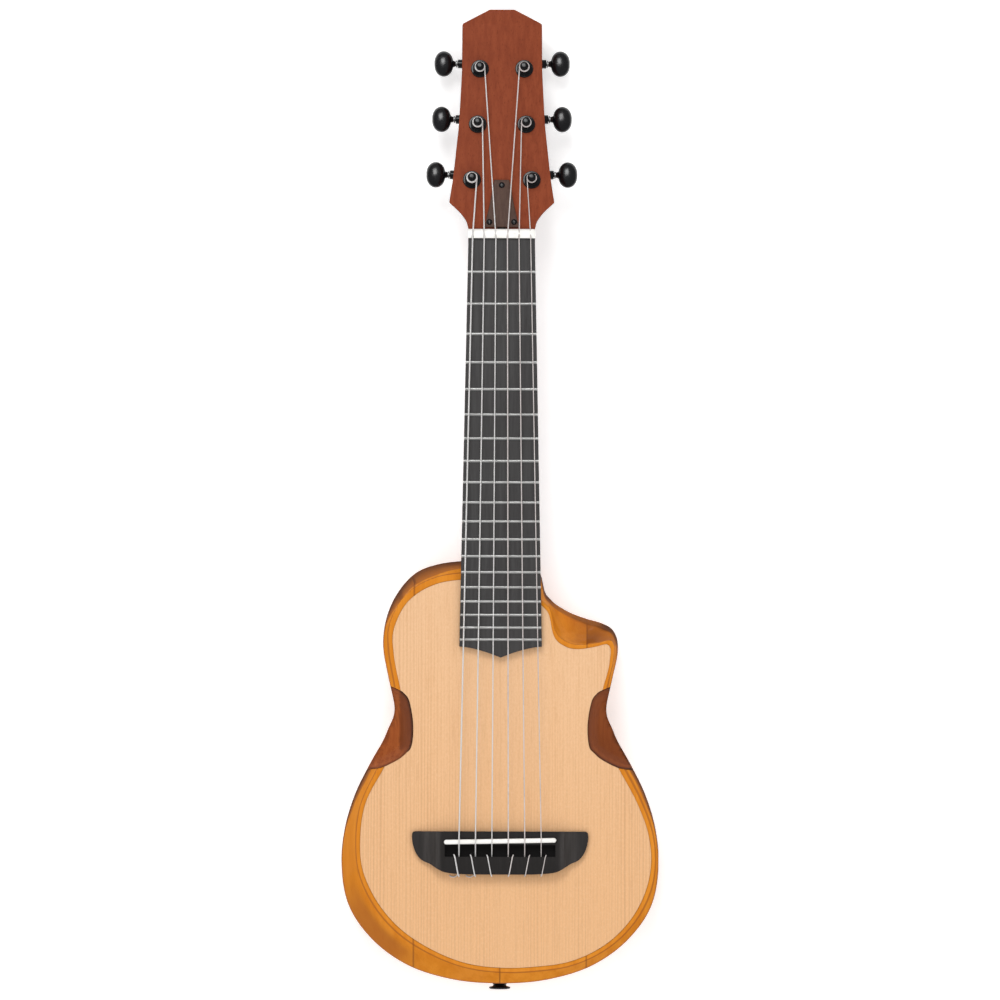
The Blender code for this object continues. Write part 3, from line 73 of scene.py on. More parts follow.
@dataclass(frozen=True)
class Layout:
    """Places that the sub-assemblies share."""

    gap: float = 0.0003
    cut: float = 0.010
    scale: float = 0.430
    top: float = 0.060
    tail_reach: float = 0.5366
    nut_thickness: float = 0.0068
    nut_width: float = 0.0481
    head_length: float = 0.1603
    head_slope: float = math.radians(12)
    head_thickness: float = 0.0140
    fretboard_thickness: float = 0.006
    fret_height: float = 0.0010
    string_over_last_fret: float = 0.0040
    neck_joint: float = 0.2317
    fretboard_length: float = 0.2916
    fretboard_end_width: float = 0.0590

    @property
    def nut_y(self) -> float:
        """Y of the nut's front edge; the plan's middle is at the origin."""
        head_reach = self.nut_thickness + self.head_length * math.cos(self.head_slope)
        return (self.tail_reach - head_reach) / 2

    @property
    def fretboard_top(self) -> float:
        """Height of the fretboard's surface."""
        return self.top + self.fretboard_thickness

    @property
    def fret_top(self) -> float:
        """Height of the frets' crowns."""
        return self.fretboard_top + self.fret_height

    @property
    def saddle_top(self) -> float:
        """Height at which the strings cross the saddle."""
        return self.fret_top + self.string_over_last_fret

    @property
    def head_plane(self) -> Matrix:
        """Places the headstock's own plane, whose z leaves its front face."""
        shift = Matrix.Translation((0, self.nut_y + self.nut_thickness, self.top))
        return shift @ Matrix.Rotation(-self.head_slope, 4, "X")

    def at(self, x: float, along: float, z: float) -> Vector:
        """Point of the frame for a place measured from the nut.

        Args:
            x: Distance from the centreline, positive on the treble side.
            along: Distance from the nut, positive toward the headstock's tip.
            z: Height.

        Returns:
            The point in the frame.
        """
        return Vector((x, along + self.nut_y, z))

    def neck_half_width(self, away: float) -> float:
        """Half width of neck and fretboard at a distance behind the nut."""
        growth = (self.fretboard_end_width - self.nut_width) / 2
        return self.nut_width / 2 + growth * away / self.fretboard_length


PLACES = Layout()


class Hand(Enum):
    """Side of the instrument."""

    BASS = -1
    TREBLE = 1


# Modelling by hand: primitives, edit-mode operators and applied modifiers

def pick(shape: Shape) -> None:
    """Selects one object alone and makes it active.

    Args:
        shape: The object.
    """
    bpy.ops.object.select_all(action="DESELECT")
    shape.select_set(True)
    bpy.context.view_layer.objects.active = shape


@contextmanager
def editing(shape: Shape) -> Iterator[None]:
    """Opens a shape in edit mode with nothing selected, and closes it afterwards.

    Args:
        shape: The shape.

    Yields:
        Nothing, while the shape is in edit mode.
    """
    pick(shape)
    bpy.ops.object.mode_set(mode="EDIT")
    bpy.ops.mesh.select_mode(type="VERT")
    bpy.ops.mesh.select_all(action="DESELECT")
    yield
    bpy.ops.object.mode_set(mode="OBJECT")


def named(name: str) -> Shape:
    """Names the primitive that was just added, and applies its place.

    Args:
        name: Name of its object and mesh.

    Returns:
        The primitive.
    """
    shape = bpy.context.object
    shape.name = shape.data.name = name
    bpy.ops.object.transform_apply(location=True, rotation=True, scale=True)
    return shape


def turn_outward(shape: Shape) -> Shape:
    """Merges doubles and makes every face point outwards.

    Args:
        shape: The shape that is mended.

    Returns:
        The same shape.
    """
    with editing(shape):
        bpy.ops.mesh.select_all(action="SELECT")
        bpy.ops.mesh.remove_doubles(threshold=1e-7)
        bpy.ops.mesh.normals_make_consistent(inside=False)
    return shape


def apply_modifier(shape: Shape, kind: str, **settings: object) -> Shape:
    """Adds a modifier with its settings and applies it at once.

    Args:
        shape: The shape that is changed.
        kind: Type of the modifier.
        settings: Its properties.

    Returns:
        The changed shape.
    """
    pick(shape)
    modifier = shape.modifiers.new(kind.lower(), kind)
    for key, value in settings.items():
        setattr(modifier, key, value)
    bpy.ops.object.modifier_apply(modifier=modifier.name)
    return shape


def combine(shape: Shape, tool: Shape, operation: str = "DIFFERENCE", keep: bool = False) -> Shape:
    """Cuts, joins or intersects a shape with another.

    Args:
        shape: The shape that is changed.
        tool: The other shape.
        operation: DIFFERENCE, UNION or INTERSECT.
        keep: Whether the other shape is needed again.

    Returns:
        The changed shape.
    """
    apply_modifier(shape, "BOOLEAN", operation=operation, object=tool, solver="EXACT")
    if not keep:
        bpy.data.objects.remove(tool)
    return shape


def soften(shape: Shape, width: float, segments: int = 3, angle: float = 30) -> Shape:
    """Rounds the edges that are sharper than an angle in degrees."""
    return apply_modifier(shape, "BEVEL", width=width, segments=segments, limit_method="ANGLE",
                          angle_limit=math.radians(angle), miter_outer="MITER_ARC")


def loft(name: str, rings: Sequence[Sequence[Vector]], closed: bool = False) -> Shape:
    """Draws a circle out ring by ring into a skin, and closes it.

    Args:
        name: Name of the shape.
        rings: Rows of equally many points.
        closed: Whether the last ring joins the first, as in a tube; otherwise both ends get a face.

    Returns:
        The closed shape.
    """
    bpy.ops.mesh.primitive_circle_add(vertices=len(rings[0]), radius=1)
    shape = named(name)
    slot = shape.data.attributes.new("slot", "INT", "POINT")
    shape.data.attributes.new("row", "INT", "POINT")
    for index, item in enumerate(slot.data):
        item.value = index
    with editing(shape):
        bpy.ops.mesh.select_all(action="SELECT")
        for row, ring in enumerate(rings):
            if row:
                bpy.ops.mesh.extrude_region_move()
            mesh = bmesh.from_edit_mesh(shape.data)
            slots, rows = mesh.verts.layers.int["slot"], mesh.verts.layers.int["row"]
            for vertex in mesh.verts:
                if vertex.select:
                    vertex.co = ring[vertex[slots]]
                    vertex[rows] = row
            bmesh.update_edit_mesh(shape.data)
        if closed:
            select_rows(shape, (0, len(rings) - 1))
            bpy.ops.mesh.bridge_edge_loops()
        else:
            for end in (0, len(rings) - 1):
                select_rows(shape, (end,))
                bpy.ops.mesh.edge_face_add()
    for key in ("slot", "row"):
        shape.data.attributes.remove(shape.data.attributes[key])
    return turn_outward(shape)


def select_rows(shape: Shape, wanted: Sequence[int]) -> None:
    """Selects the vertices of some rings of a loft that is being edited, and nothing else.

    Args:
        shape: The loft.
        wanted: Numbers of the rings.
    """
    bpy.ops.mesh.select_all(action="DESELECT")
    mesh = bmesh.from_edit_mesh(shape.data)
    rows = mesh.verts.layers.int["row"]
    for vertex in mesh.verts:
        if vertex[rows] in wanted:
            vertex.select_set(True)
    mesh.select_flush(True)
    bmesh.update_edit_mesh(shape.data)


def circle(radius: float, height: float, sides: int) -> list[Vector]:
    """Points of a ring around the z axis."""
    turns = [math.tau * i / sides for i in range(sides)]
    return [Vector((radius * math.cos(a), radius * math.sin(a), height)) for a in turns]


def lathe(name: str, profile: Plan, sides: int = 48, closed: bool = False) -> Shape:
    """Turned shape around the z axis from (radius, height) points."""
    return loft(name, [circle(radius, height, sides) for radius, height in profile], closed)


def prism(name: str, outline: Plan, low: float, high: float) -> Shape:
    """Upright shape over an outline of (x, distance behind the nut) points."""
    return loft(name, [[PLACES.at(x, -away, z) for x, away in outline] for z in (low, high)])


def block(name: str, low: Sequence[float], high: Sequence[float]) -> Shape:
    """Box between two corners.

    Args:
        name: Name of the shape.
        low: Corner with the lowest values.
        high: Corner with the highest values.

    Returns:
        The box.
    """
    low, high = Vector(low), Vector(high)
    bpy.ops.mesh.primitive_cube_add(size=1, location=(low + high) / 2, scale=high - low)
    return named(name)


def rod(name: str, start: Sequence[float], end: Sequence[float], radius: float, sides: int = 32) -> Shape:
    """Cylinder between two points.

    Args:
        name: Name of the shape.
        start: Middle of one end.
        end: Middle of the other end.
        radius: Its radius.
        sides: Number of its sides.

    Returns:
        The cylinder.
    """
    line = Vector(end) - Vector(start)
    turn = line.to_track_quat("Z", "Y").to_euler()
    bpy.ops.mesh.primitive_cylinder_add(vertices=sides, radius=radius, depth=line.length,
                                        location=(Vector(start) + Vector(end)) / 2, rotation=turn)
    return named(name)


def moved(shape: Shape, matrix: Matrix) -> Shape:
    """Carries a shape to its place, and keeps its faces outwards if that mirrors it."""
    shape.data.transform(matrix)
    return turn_outward(shape) if matrix.determinant() < 0 else shape


def copied(shape: Shape, name: str, matrix: Matrix) -> Shape:
    """Copy of a shape with a mesh of its own, carried to its place.

    Args:
        shape: The original.
        name: Name of the copy.
        matrix: Carries it to its place.

    Returns:
        The copy.
    """
    pick(shape)
    bpy.ops.object.duplicate(linked=False)
    twin = bpy.context.object
    twin.name = twin.data.name = name
    return moved(twin, matrix)


def paint(shape: Shape, value: Callable[[bpy.types.MeshVertex], float]) -> Shape:
    """Gives each vertex of a shape the shade, from 0 to 1, that its finish reads.

    Args:
        shape: The shape.
        value: Gives the shade of a vertex.

    Returns:
        The same shape.
    """
    layer = shape.data.attributes.new("shade", "FLOAT", "POINT")
    for item, vertex in zip(layer.data, shape.data.vertices):
        item.value = value(vertex)
    return shape


def tube(name: str, points: Sequence[Vector], radius: float, sides: int = 10) -> Shape:
    """Round wire through the points, with closed ends.

    Args:
        name: Name of the shape.
        points: The wire's middle line.
        radius: Its radius.
        sides: Number of its sides.

    Returns:
        The wire.
    """
    curve = bpy.data.curves.new(name, "CURVE")
    curve.dimensions = "3D"
    curve.bevel_depth = radius
    curve.bevel_resolution = sides // 2 - 2
    curve.use_fill_caps = True
    spline = curve.splines.new("POLY")
    spline.points.add(len(points) - 1)
    for target, point in zip(spline.points, points):
        target.co = (*point, 1)
    shape = bpy.data.objects.new(name, curve)
    bpy.context.scene.collection.objects.link(shape)
    pick(shape)
    bpy.ops.object.convert(target="MESH")
    return turn_outward(bpy.context.object)


def rounded(points: Sequence[Vector], radii: Sequence[float], steps: int = 4) -> list[Vector]:
    """Rounds the corners of an open line; a corner whose radius is 0 stays as it is.

    Args:
        points: Corners of the line.
        radii: How far from each inner corner its rounding starts.
        steps: Points that each rounding gets.

    Returns:
        The rounded line.
    """
    line = [points[0]]
    for before, corner, after, radius in zip(points, points[1:], points[2:], radii):
        if radius == 0:
            line.append(corner)
            continue
        into, out = before - corner, after - corner
        start = corner + into.normalized() * min(radius, into.length * 0.49)
        end = corner + out.normalized() * min(radius, out.length * 0.49)
        for step in range(steps):
            t = step / (steps - 1)
            line.append(start * (1 - t) ** 2 + corner * 2 * t * (1 - t) + end * t ** 2)
    return line + [points[-1]]


def blended(rows: Plan, place: float) -> float:
    """Value at a place along rising (place, value) rows, eased between them.

    Args:
        rows: The rows.
        place: Where the value is read.

    Returns:
        The value.
    """
    for (low, low_value), (high, high_value) in zip(rows, rows[1:]):
        if low <= place <= high:
            t = (place - low) / (high - low)
            return low_value + (high_value - low_value) * (3 * t ** 2 - 2 * t ** 3)
    return rows[0][1] if place < rows[0][0] else rows[-1][1]


def eased(value: float, low: float, high: float) -> float:
    """0 at low, 1 at high, eased between them."""
    t = min(1.0, max(0.0, (value - low) / (high - low)))
    return 3 * t ** 2 - 2 * t ** 3


def smooth_curve(points: Sequence[Vector], steps: int) -> list[Vector]:
    """Smooth line through all points, with a number of steps between neighbours.

    Args:
        points: What the line goes through.
        steps: Steps between neighbours.

    Returns:
        The points of the line.
    """
    ends = [points[0] * 2 - points[1], *points, points[-1] * 2 - points[-2]]
    line = []
    for a, b, c, d in zip(ends, ends[1:], ends[2:], ends[3:]):
        for step in range(steps):
            t = step / steps
            line.append((b * 2 + (c - a) * t + (a * 2 - b * 5 + c * 4 - d) * t ** 2
                         + (b * 3 - a - c * 3 + d) * t ** 3) / 2)
    return line + [points[-1]]


# Finishes

class Sheet:
    """Node sheet of one finish."""

    def __init__(self, name: str) -> None:
        """Starts a finish with a bare Principled shader.

        Args:
            name: Name of the material.
        """
        self.material = bpy.data.materials.new(name)
        self.material.use_nodes = True
        self.tree = self.material.node_tree
        self.shader = self.tree.nodes["Principled BSDF"]

    def node(self, kind: str, inputs: dict[str | int, object] | None = None, **settings: object) -> bpy.types.Node:
        """Adds a node.

        Args:
            kind: Node type after ShaderNode.
            inputs: Values or output sockets by input name or number.
            settings: Properties of the node itself.

        Returns:
            The node.
        """
        node = self.tree.nodes.new(f"ShaderNode{kind}")
        for key, value in settings.items():
            setattr(node, key, value)
        for key, value in (inputs or {}).items():
            self.feed(node.inputs[key], value)
        return node

    def feed(self, socket: bpy.types.NodeSocket, value: object) -> None:
        """Links an output to a socket, or sets the socket's own value.

        Args:
            socket: The input.
            value: An output socket, or a plain value.
        """
        if isinstance(value, bpy.types.NodeSocket):
            self.tree.links.new(value, socket)
        elif isinstance(value, tuple) and len(value) == 3 and socket.type == "RGBA":
            socket.default_value = (*value, 1)
        else:
            socket.default_value = value

    def place(self, scale: Sequence[float] = (1, 1, 1), shift: Sequence[float] = (0, 0, 0)) -> bpy.types.NodeSocket:
        """Object coordinates, stretched and shifted."""
        source = self.node("TexCoord").outputs["Object"]
        return self.node("Mapping", {"Vector": source, "Scale": scale, "Location": shift}).outputs[0]

    def noise(self, vector: bpy.types.NodeSocket, scale: float = 1, detail: float = 3,
              roughness: float = 0.5) -> bpy.types.NodeSocket:
        """Noise value at a place."""
        return self.node("TexNoise", {"Vector": vector, "Scale": scale, "Detail": detail,
                                      "Roughness": roughness}).outputs[0]

    def ramp(self, value: bpy.types.NodeSocket, low: float, high: float, start: float = 0,
             end: float = 1) -> bpy.types.NodeSocket:
        """Eases a value from start at low to end at high."""
        return self.node("MapRange", {"Value": value, "From Min": low, "From Max": high, "To Min": start,
                                      "To Max": end}, interpolation_type="SMOOTHSTEP").outputs[0]

    def mix(self, factor: object, first: object, second: object, blend: str = "MIX") -> bpy.types.NodeSocket:
        """Mixes two colours."""
        return self.node("Mix", {0: factor, 6: first, 7: second}, data_type="RGBA", blend_type=blend).outputs[2]

    def sum(self, operation: str, first: object, second: object) -> bpy.types.NodeSocket:
        """Does a sum with two values."""
        return self.node("Math", {0: first, 1: second}, operation=operation).outputs[0]

    def relief(self, height: bpy.types.NodeSocket, depth: float) -> None:
        """Gives the surface the relief of a value from 0 to 1, to a depth in metres."""
        bump = self.node("Bump", {"Height": height, "Distance": depth, "Strength": 1.0})
        self.feed(self.shader.inputs["Normal"], bump.outputs[0])

    def surface(self, colour: object, roughness: object, **others: object) -> bpy.types.Material:
        """Sets the shader's sockets and returns the material.

        Args:
            colour: Base colour.
            roughness: Roughness.
            others: Further sockets, with underscores for the spaces in their names.

        Returns:
            The finished material.
        """
        values = {"Base Color": colour, "Roughness": roughness}
        values |= {key.replace("_", " "): value for key, value in others.items()}
        for key, value in values.items():
            self.feed(self.shader.inputs[key], value)
        return self.material


@dataclass(frozen=True)
class Wood:
    """Wood with its grain along the instrument."""

    name: str
    light: Colour
    dark: Colour
    pore: Colour
    streak: float = 0.004
    run: float = 0.12
    pore_share: float = 0.35
    roughness: float = 0.4
    coat: float = 0.0
    relief: float = 0.00003
    specular: float = 0.5

    def colour(self, sheet: Sheet) -> tuple[bpy.types.NodeSocket, bpy.types.NodeSocket]:
        """Lays streaks, clouds and pores over each other.

        Args:
            sheet: The node sheet.

        Returns:
            The colour, and the pores from 0 to 1.
        """
        broad = sheet.place((1 / self.streak, 1 / self.run, 1 / self.streak))
        fine = sheet.place((6 / self.streak, 5 / self.run, 6 / self.streak), (3, 1, 7))
        streaks = sheet.ramp(sheet.noise(broad, detail=4, roughness=0.6), 0.3, 0.7)
        pores = sheet.ramp(sheet.noise(fine, detail=2), 0.58, 0.72)
        clouds = sheet.ramp(sheet.noise(sheet.place((14, 9, 14), (5, 2, 1))), 0.3, 0.7, 0.0, 0.35)
        tint = sheet.mix(streaks, self.dark, self.light)
        tint = sheet.mix(clouds, tint, self.dark)
        tint = sheet.mix(sheet.sum("MULTIPLY", pores, self.pore_share), tint, self.pore)
        return tint, pores

    def material(self) -> bpy.types.Material:
        """Builds the finish.

        Returns:
            The material.
        """
        sheet = Sheet(self.name)
        tint, pores = self.colour(sheet)
        sheet.relief(sheet.sum("SUBTRACT", 1.0, pores), self.relief)
        polish = sheet.ramp(pores, 0, 1, self.roughness, min(1, self.roughness + 0.12))
        return sheet.surface(tint, polish, Coat_Weight=self.coat, Coat_Roughness=0.08,
                             Specular_IOR_Level=self.specular)


@dataclass(frozen=True)
class PaintedShadeWood(Wood):
    """Lacquered wood with painted shade: darker where its piece was painted with shade, from 0 to 1."""

    half: Colour = (0.36, 0.11, 0.024)
    deep: Colour = (0.100, 0.035, 0.016)
    line_height: float | None = None
    joins: tuple[float, ...] = ()
    zones: tuple[tuple[float, float, float], ...] = ()

    def material(self) -> bpy.types.Material:
        """Builds the finish: lines below line_height and at the joins, zones by distance from the middle.

        Returns:
            The material.
        """
        sheet = Sheet(self.name)
        tint, pores = self.colour(sheet)
        side = sheet.sum("ABSOLUTE", sheet.node("SeparateXYZ", {0: sheet.place()}).outputs[0], 0.0)
        # Painted shade: the vertices' attribute, plus zones by distance from the middle.
        shade = sheet.node("Attribute", attribute_name="shade").outputs["Fac"]
        for low, high, share in self.zones:
            shade = sheet.sum("ADD", shade, sheet.ramp(side, low, high, 0.0, share))
        tint = sheet.mix(sheet.ramp(shade, 0, 0.5), tint, sheet.mix(0.25, self.half, tint))
        tint = sheet.mix(sheet.ramp(shade, 0.5, 1), tint, self.deep)
        if self.line_height is not None:
            height = sheet.node("SeparateXYZ", {0: sheet.place()}).outputs[2]
            line = sheet.sum("MULTIPLY", sheet.ramp(height, self.line_height, self.line_height - 0.0002),
                             sheet.ramp(height, self.line_height - 0.0011, self.line_height - 0.0007))
            tint = sheet.mix(sheet.sum("MULTIPLY", line, 0.7), tint, self.half)
        for join in self.joins:
            near = sheet.ramp(sheet.sum("ABSOLUTE", sheet.sum("SUBTRACT", side, join), 0.0), 0.0009, 0.0003)
            tint = sheet.mix(sheet.sum("MULTIPLY", near, 0.55), tint, sheet.mix(0.5, self.half, self.deep))
        sheet.relief(sheet.sum("SUBTRACT", 1.0, pores), self.relief)
        return sheet.surface(tint, self.roughness, Coat_Weight=self.coat, Coat_Roughness=0.06,
                             Specular_IOR_Level=self.specular)


@dataclass(frozen=True)
class Spruce:
    """Quartered spruce: fine even year lines along the instrument, and a centre seam."""

    name: str
    pale: Colour = (0.805, 0.505, 0.288)
    line: Colour = (0.64, 0.35, 0.17)
    warm: Colour = (0.775, 0.445, 0.220)
    spark: Colour = (0.90, 0.64, 0.41)
    spacing: float = 0.0022

    def material(self) -> bpy.types.Material:
        """Builds the finish.

        Returns:
            The material.
        """
        sheet = Sheet(self.name)
        side, along, _height = sheet.node("SeparateXYZ", {0: sheet.place()}).outputs
        waves = sheet.node("TexWave", {"Vector": sheet.place((1, 0.012, 0)), "Scale": 0.314 / self.spacing,
                                       "Distortion": 9.0, "Detail": 4.0, "Detail Scale": 0.9},
                           bands_direction="X").outputs[1]
        lines = sheet.ramp(waves, 0.55, 1.0)
        reach = sheet.sum("ADD", sheet.sum("ABSOLUTE", side, 0.0), sheet.sum("MULTIPLY", along, -0.25))
        outer = sheet.ramp(reach, 0.045, 0.115, 0.06, 0.85)
        broad = sheet.ramp(sheet.noise(sheet.place((70, 2.0, 1), (2, 4, 0)), detail=4), 0.35, 0.65)
        strength = sheet.sum("MULTIPLY", outer, sheet.sum("ADD", sheet.sum("MULTIPLY", broad, 0.7), 0.3))
        streaks = sheet.ramp(sheet.noise(sheet.place((620, 34, 1), (9, 3, 0)), detail=4, roughness=0.7), 0.48, 0.72)
        pale = sheet.ramp(sheet.noise(sheet.place((800, 500, 1), (1, 5, 0)), detail=2, roughness=0.8), 0.45, 0.7)
        fleck = sheet.ramp(sheet.noise(sheet.place((1100, 420, 1), (4, 8, 0)), detail=2, roughness=0.8), 0.4, 0.7)
        base = sheet.mix(sheet.ramp(along, -0.05, -0.32), self.pale, self.warm)
        base = sheet.mix(sheet.sum("MULTIPLY", broad, 0.22), base, self.warm)
        tint = sheet.mix(sheet.sum("MULTIPLY", lines, strength), base, self.line)
        tint = sheet.mix(sheet.sum("MULTIPLY", streaks, 0.45), tint, self.line)
        tint = sheet.mix(sheet.sum("MULTIPLY", fleck, 0.26), tint, self.line)
        tint = sheet.mix(sheet.sum("MULTIPLY", pale, 0.16), tint, self.spark)
        seam = sheet.ramp(sheet.sum("ABSOLUTE", side, 0.0), 0.0005, 0.0002, 0.0, 0.2)
        tint = sheet.mix(seam, tint, self.line)
        sheet.relief(lines, 0.000006)
        return sheet.surface(tint, 0.5, Specular_IOR_Level=0.2)


@dataclass(frozen=True)
class Smooth:
    """Bone, nylon, plastic or plain metal: an even colour with small clouds and fine marks."""

    name: str
    light: Colour
    dark: Colour
    roughness: float
    metallic: float = 0.0
    grain: tuple[float, float, float] = (300, 300, 300)
    relief: float = 0.000004
    coat: float = 0.0
    specular: float = 0.5
    glow: float = 0.0

    def material(self) -> bpy.types.Material:
        """Builds the finish.

        Returns:
            The material.
        """
        sheet = Sheet(self.name)
        clouds = sheet.ramp(sheet.noise(sheet.place((90, 90, 90))), 0.35, 0.65)
        marks = sheet.noise(sheet.place(self.grain, (4, 8, 2)), detail=4)
        sheet.relief(marks, self.relief)
        polish = sheet.ramp(marks, 0.3, 0.7, self.roughness * 0.85, min(1, self.roughness * 1.15))
        return sheet.surface(sheet.mix(clouds, self.dark, self.light), polish, Metallic=self.metallic,
                             Coat_Weight=self.coat, Coat_Roughness=0.03, Specular_IOR_Level=self.specular,
                             Emission_Color=(1, 1, 1), Emission_Strength=self.glow)


@dataclass(frozen=True)
class Wound:
    """Bass string: fine wire wound over its core."""

    name: str
    light: Colour = (0.88, 0.86, 0.85)
    dark: Colour = (0.50, 0.48, 0.47)
    pitch: float = 0.00035

    def material(self) -> bpy.types.Material:
        """Builds the finish.

        Returns:
            The material.
        """
        sheet = Sheet(self.name)
        vector = sheet.place((0, 1 / self.pitch, 0))
        turns = sheet.node("TexWave", {"Vector": vector, "Scale": 1 / math.tau * 2}, bands_direction="Y").outputs[1]
        worn = sheet.noise(sheet.place((200, 20, 200)), detail=2)
        sheet.relief(turns, 0.00004)
        tint = sheet.mix(sheet.ramp(turns, 0.1, 0.6), self.dark, self.light)
        return sheet.surface(tint, sheet.ramp(worn, 0.3, 0.7, 0.3, 0.42), Metallic=0.2)


# Body lacquer: a burst outside the ridge, with painted shade where sides face the headstock and in the cutaway.
AMBER = PaintedShadeWood("amber_lacquered_body", (0.71, 0.258, 0.028), (0.61, 0.196, 0.017), (0.38, 0.10, 0.010),
                    streak=0.006, run=0.10, pore_share=0.2, roughness=0.3, coat=0.1, relief=0.000006,
                    specular=0.0, line_height=0.0599, joins=(0.0, 0.0617))
SPRUCE = Spruce("pale_spruce_top")
# Inlays: their shade includes a painted highlight just inside the lower edge.
INLAY = PaintedShadeWood("dark_waist_inlay", (0.39, 0.108, 0.030), (0.27, 0.064, 0.018), (0.10, 0.026, 0.010),
                    streak=0.003, run=0.06, pore_share=0.6, roughness=0.32, coat=0.1, relief=0.000006, specular=0.0,
                    half=(0.165, 0.045, 0.016), deep=(0.055, 0.018, 0.009))
# Neck: painted shade darkens its sides and back.
MAHOGANY = PaintedShadeWood("reddish_mahogany", (0.275, 0.064, 0.027), (0.215, 0.046, 0.020), (0.12, 0.026, 0.011),
                       streak=0.003, run=0.05, pore_share=0.6, roughness=0.5, relief=0.000015, specular=0.05,
                       half=(0.12, 0.030, 0.014), deep=(0.06, 0.018, 0.010))
BOARD_EBONY = Wood("fretboard_ebony", (0.062, 0.060, 0.060), (0.044, 0.042, 0.042), (0.028, 0.026, 0.026),
                   streak=0.0025, run=0.05, roughness=0.55, relief=0.00001, specular=0.2)
# Bridge: painted shade in the trough, and zones that leave the wings' slopes lighter as a painted reflection.
BRIDGE_EBONY = PaintedShadeWood("bridge_ebony", (0.058, 0.052, 0.050), (0.040, 0.036, 0.034), (0.024, 0.020, 0.019),
                           streak=0.002, run=0.03, roughness=0.45, relief=0.00001, specular=0.1,
                           half=(0.013, 0.012, 0.0117), deep=(0.005, 0.0045, 0.0045),
                           zones=((0.0450, 0.0405, 0.5), (0.0520, 0.0560, 0.28)))
COVER_WOOD = Wood("brown_cover_wood", (0.100, 0.057, 0.042), (0.074, 0.040, 0.030), (0.045, 0.024, 0.018),
                  streak=0.0015, run=0.02, roughness=0.55, relief=0.00001, specular=0.2)
RAW_SPRUCE = Wood("raw_brace_spruce", (0.80, 0.55, 0.31), (0.66, 0.41, 0.20), (0.48, 0.28, 0.13),
                  streak=0.0015, run=0.08, roughness=0.7)
BONE = Smooth("polished_bone", (0.92, 0.91, 0.88), (0.88, 0.865, 0.82), 0.35, grain=(120, 120, 900))
CLEAR_NYLON = Smooth("clear_nylon", (0.63, 0.575, 0.56), (0.55, 0.495, 0.48), 0.3)
FRET_METAL = Smooth("nickel_silver_frets", (0.52, 0.52, 0.51), (0.44, 0.44, 0.43), 0.35, 0.6, (60, 900, 900))
BLACK_CHROME = Smooth("black_chrome", (0.006, 0.006, 0.007), (0.004, 0.004, 0.005), 0.16, specular=0.3)
SILVER_RING = Smooth("silver_ring", (0.30, 0.30, 0.30), (0.22, 0.22, 0.22), 0.3, 0.8)
BLACK_GLOSS = Smooth("black_gloss_button", (0.004, 0.004, 0.005), (0.003, 0.003, 0.004), 0.24, specular=0.6)
ROD_STEEL = Smooth("rod_steel", (0.5, 0.5, 0.51), (0.36, 0.36, 0.37), 0.35, 1.0, (900, 60, 900))
WOUND_SILVER = Wound("wound_silver")
LIGHT_TABLE = Smooth("light_table", (0.92, 0.92, 0.92), (0.90, 0.90, 0.90), 0.9, grain=(40, 40, 40), specular=0.0,
                     glow=0.4)
Finish = Wood | Spruce | Smooth | Wound


@cache
def material_of(finish: Finish) -> bpy.types.Material:
    """Material of a finish, built once."""
    return finish.material()


def deliver(shape: Shape, finish: Finish, nodes: Sequence[str] = (), body: str = "root",
            angle: float = 30) -> Shape:
    """Finishes a piece: smooth shading, material, body and the CAD nodes that it stands for.

    Args:
        shape: The piece.
        finish: Its finish.
        nodes: CAD nodes that it replaces.
        body: CAD body that carries it.
        angle: Edges sharper than this, in degrees, stay sharp.

    Returns:
        The piece.
    """
    pick(shape)
    bpy.ops.object.shade_smooth_by_angle(angle=math.radians(angle))
    shape.data.materials.clear()
    shape.data.materials.append(material_of(finish))
    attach(shape, body)
    if nodes:
        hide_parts(*nodes)
    LOG.info("%s: %d faces, on %s", shape.name, len(shape.data.polygons), body)
    return shape


def dress_node(node: str, finish: Finish) -> None:
    """Gives a CAD node that stays in view its finish.

    Args:
        node: Name of the node.
        finish: Its finish.
    """
    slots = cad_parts[node].material_slots
    for slot in slots:
        slot.material = material_of(finish)
    LOG.info("%s: CAD node kept", node)


# Body

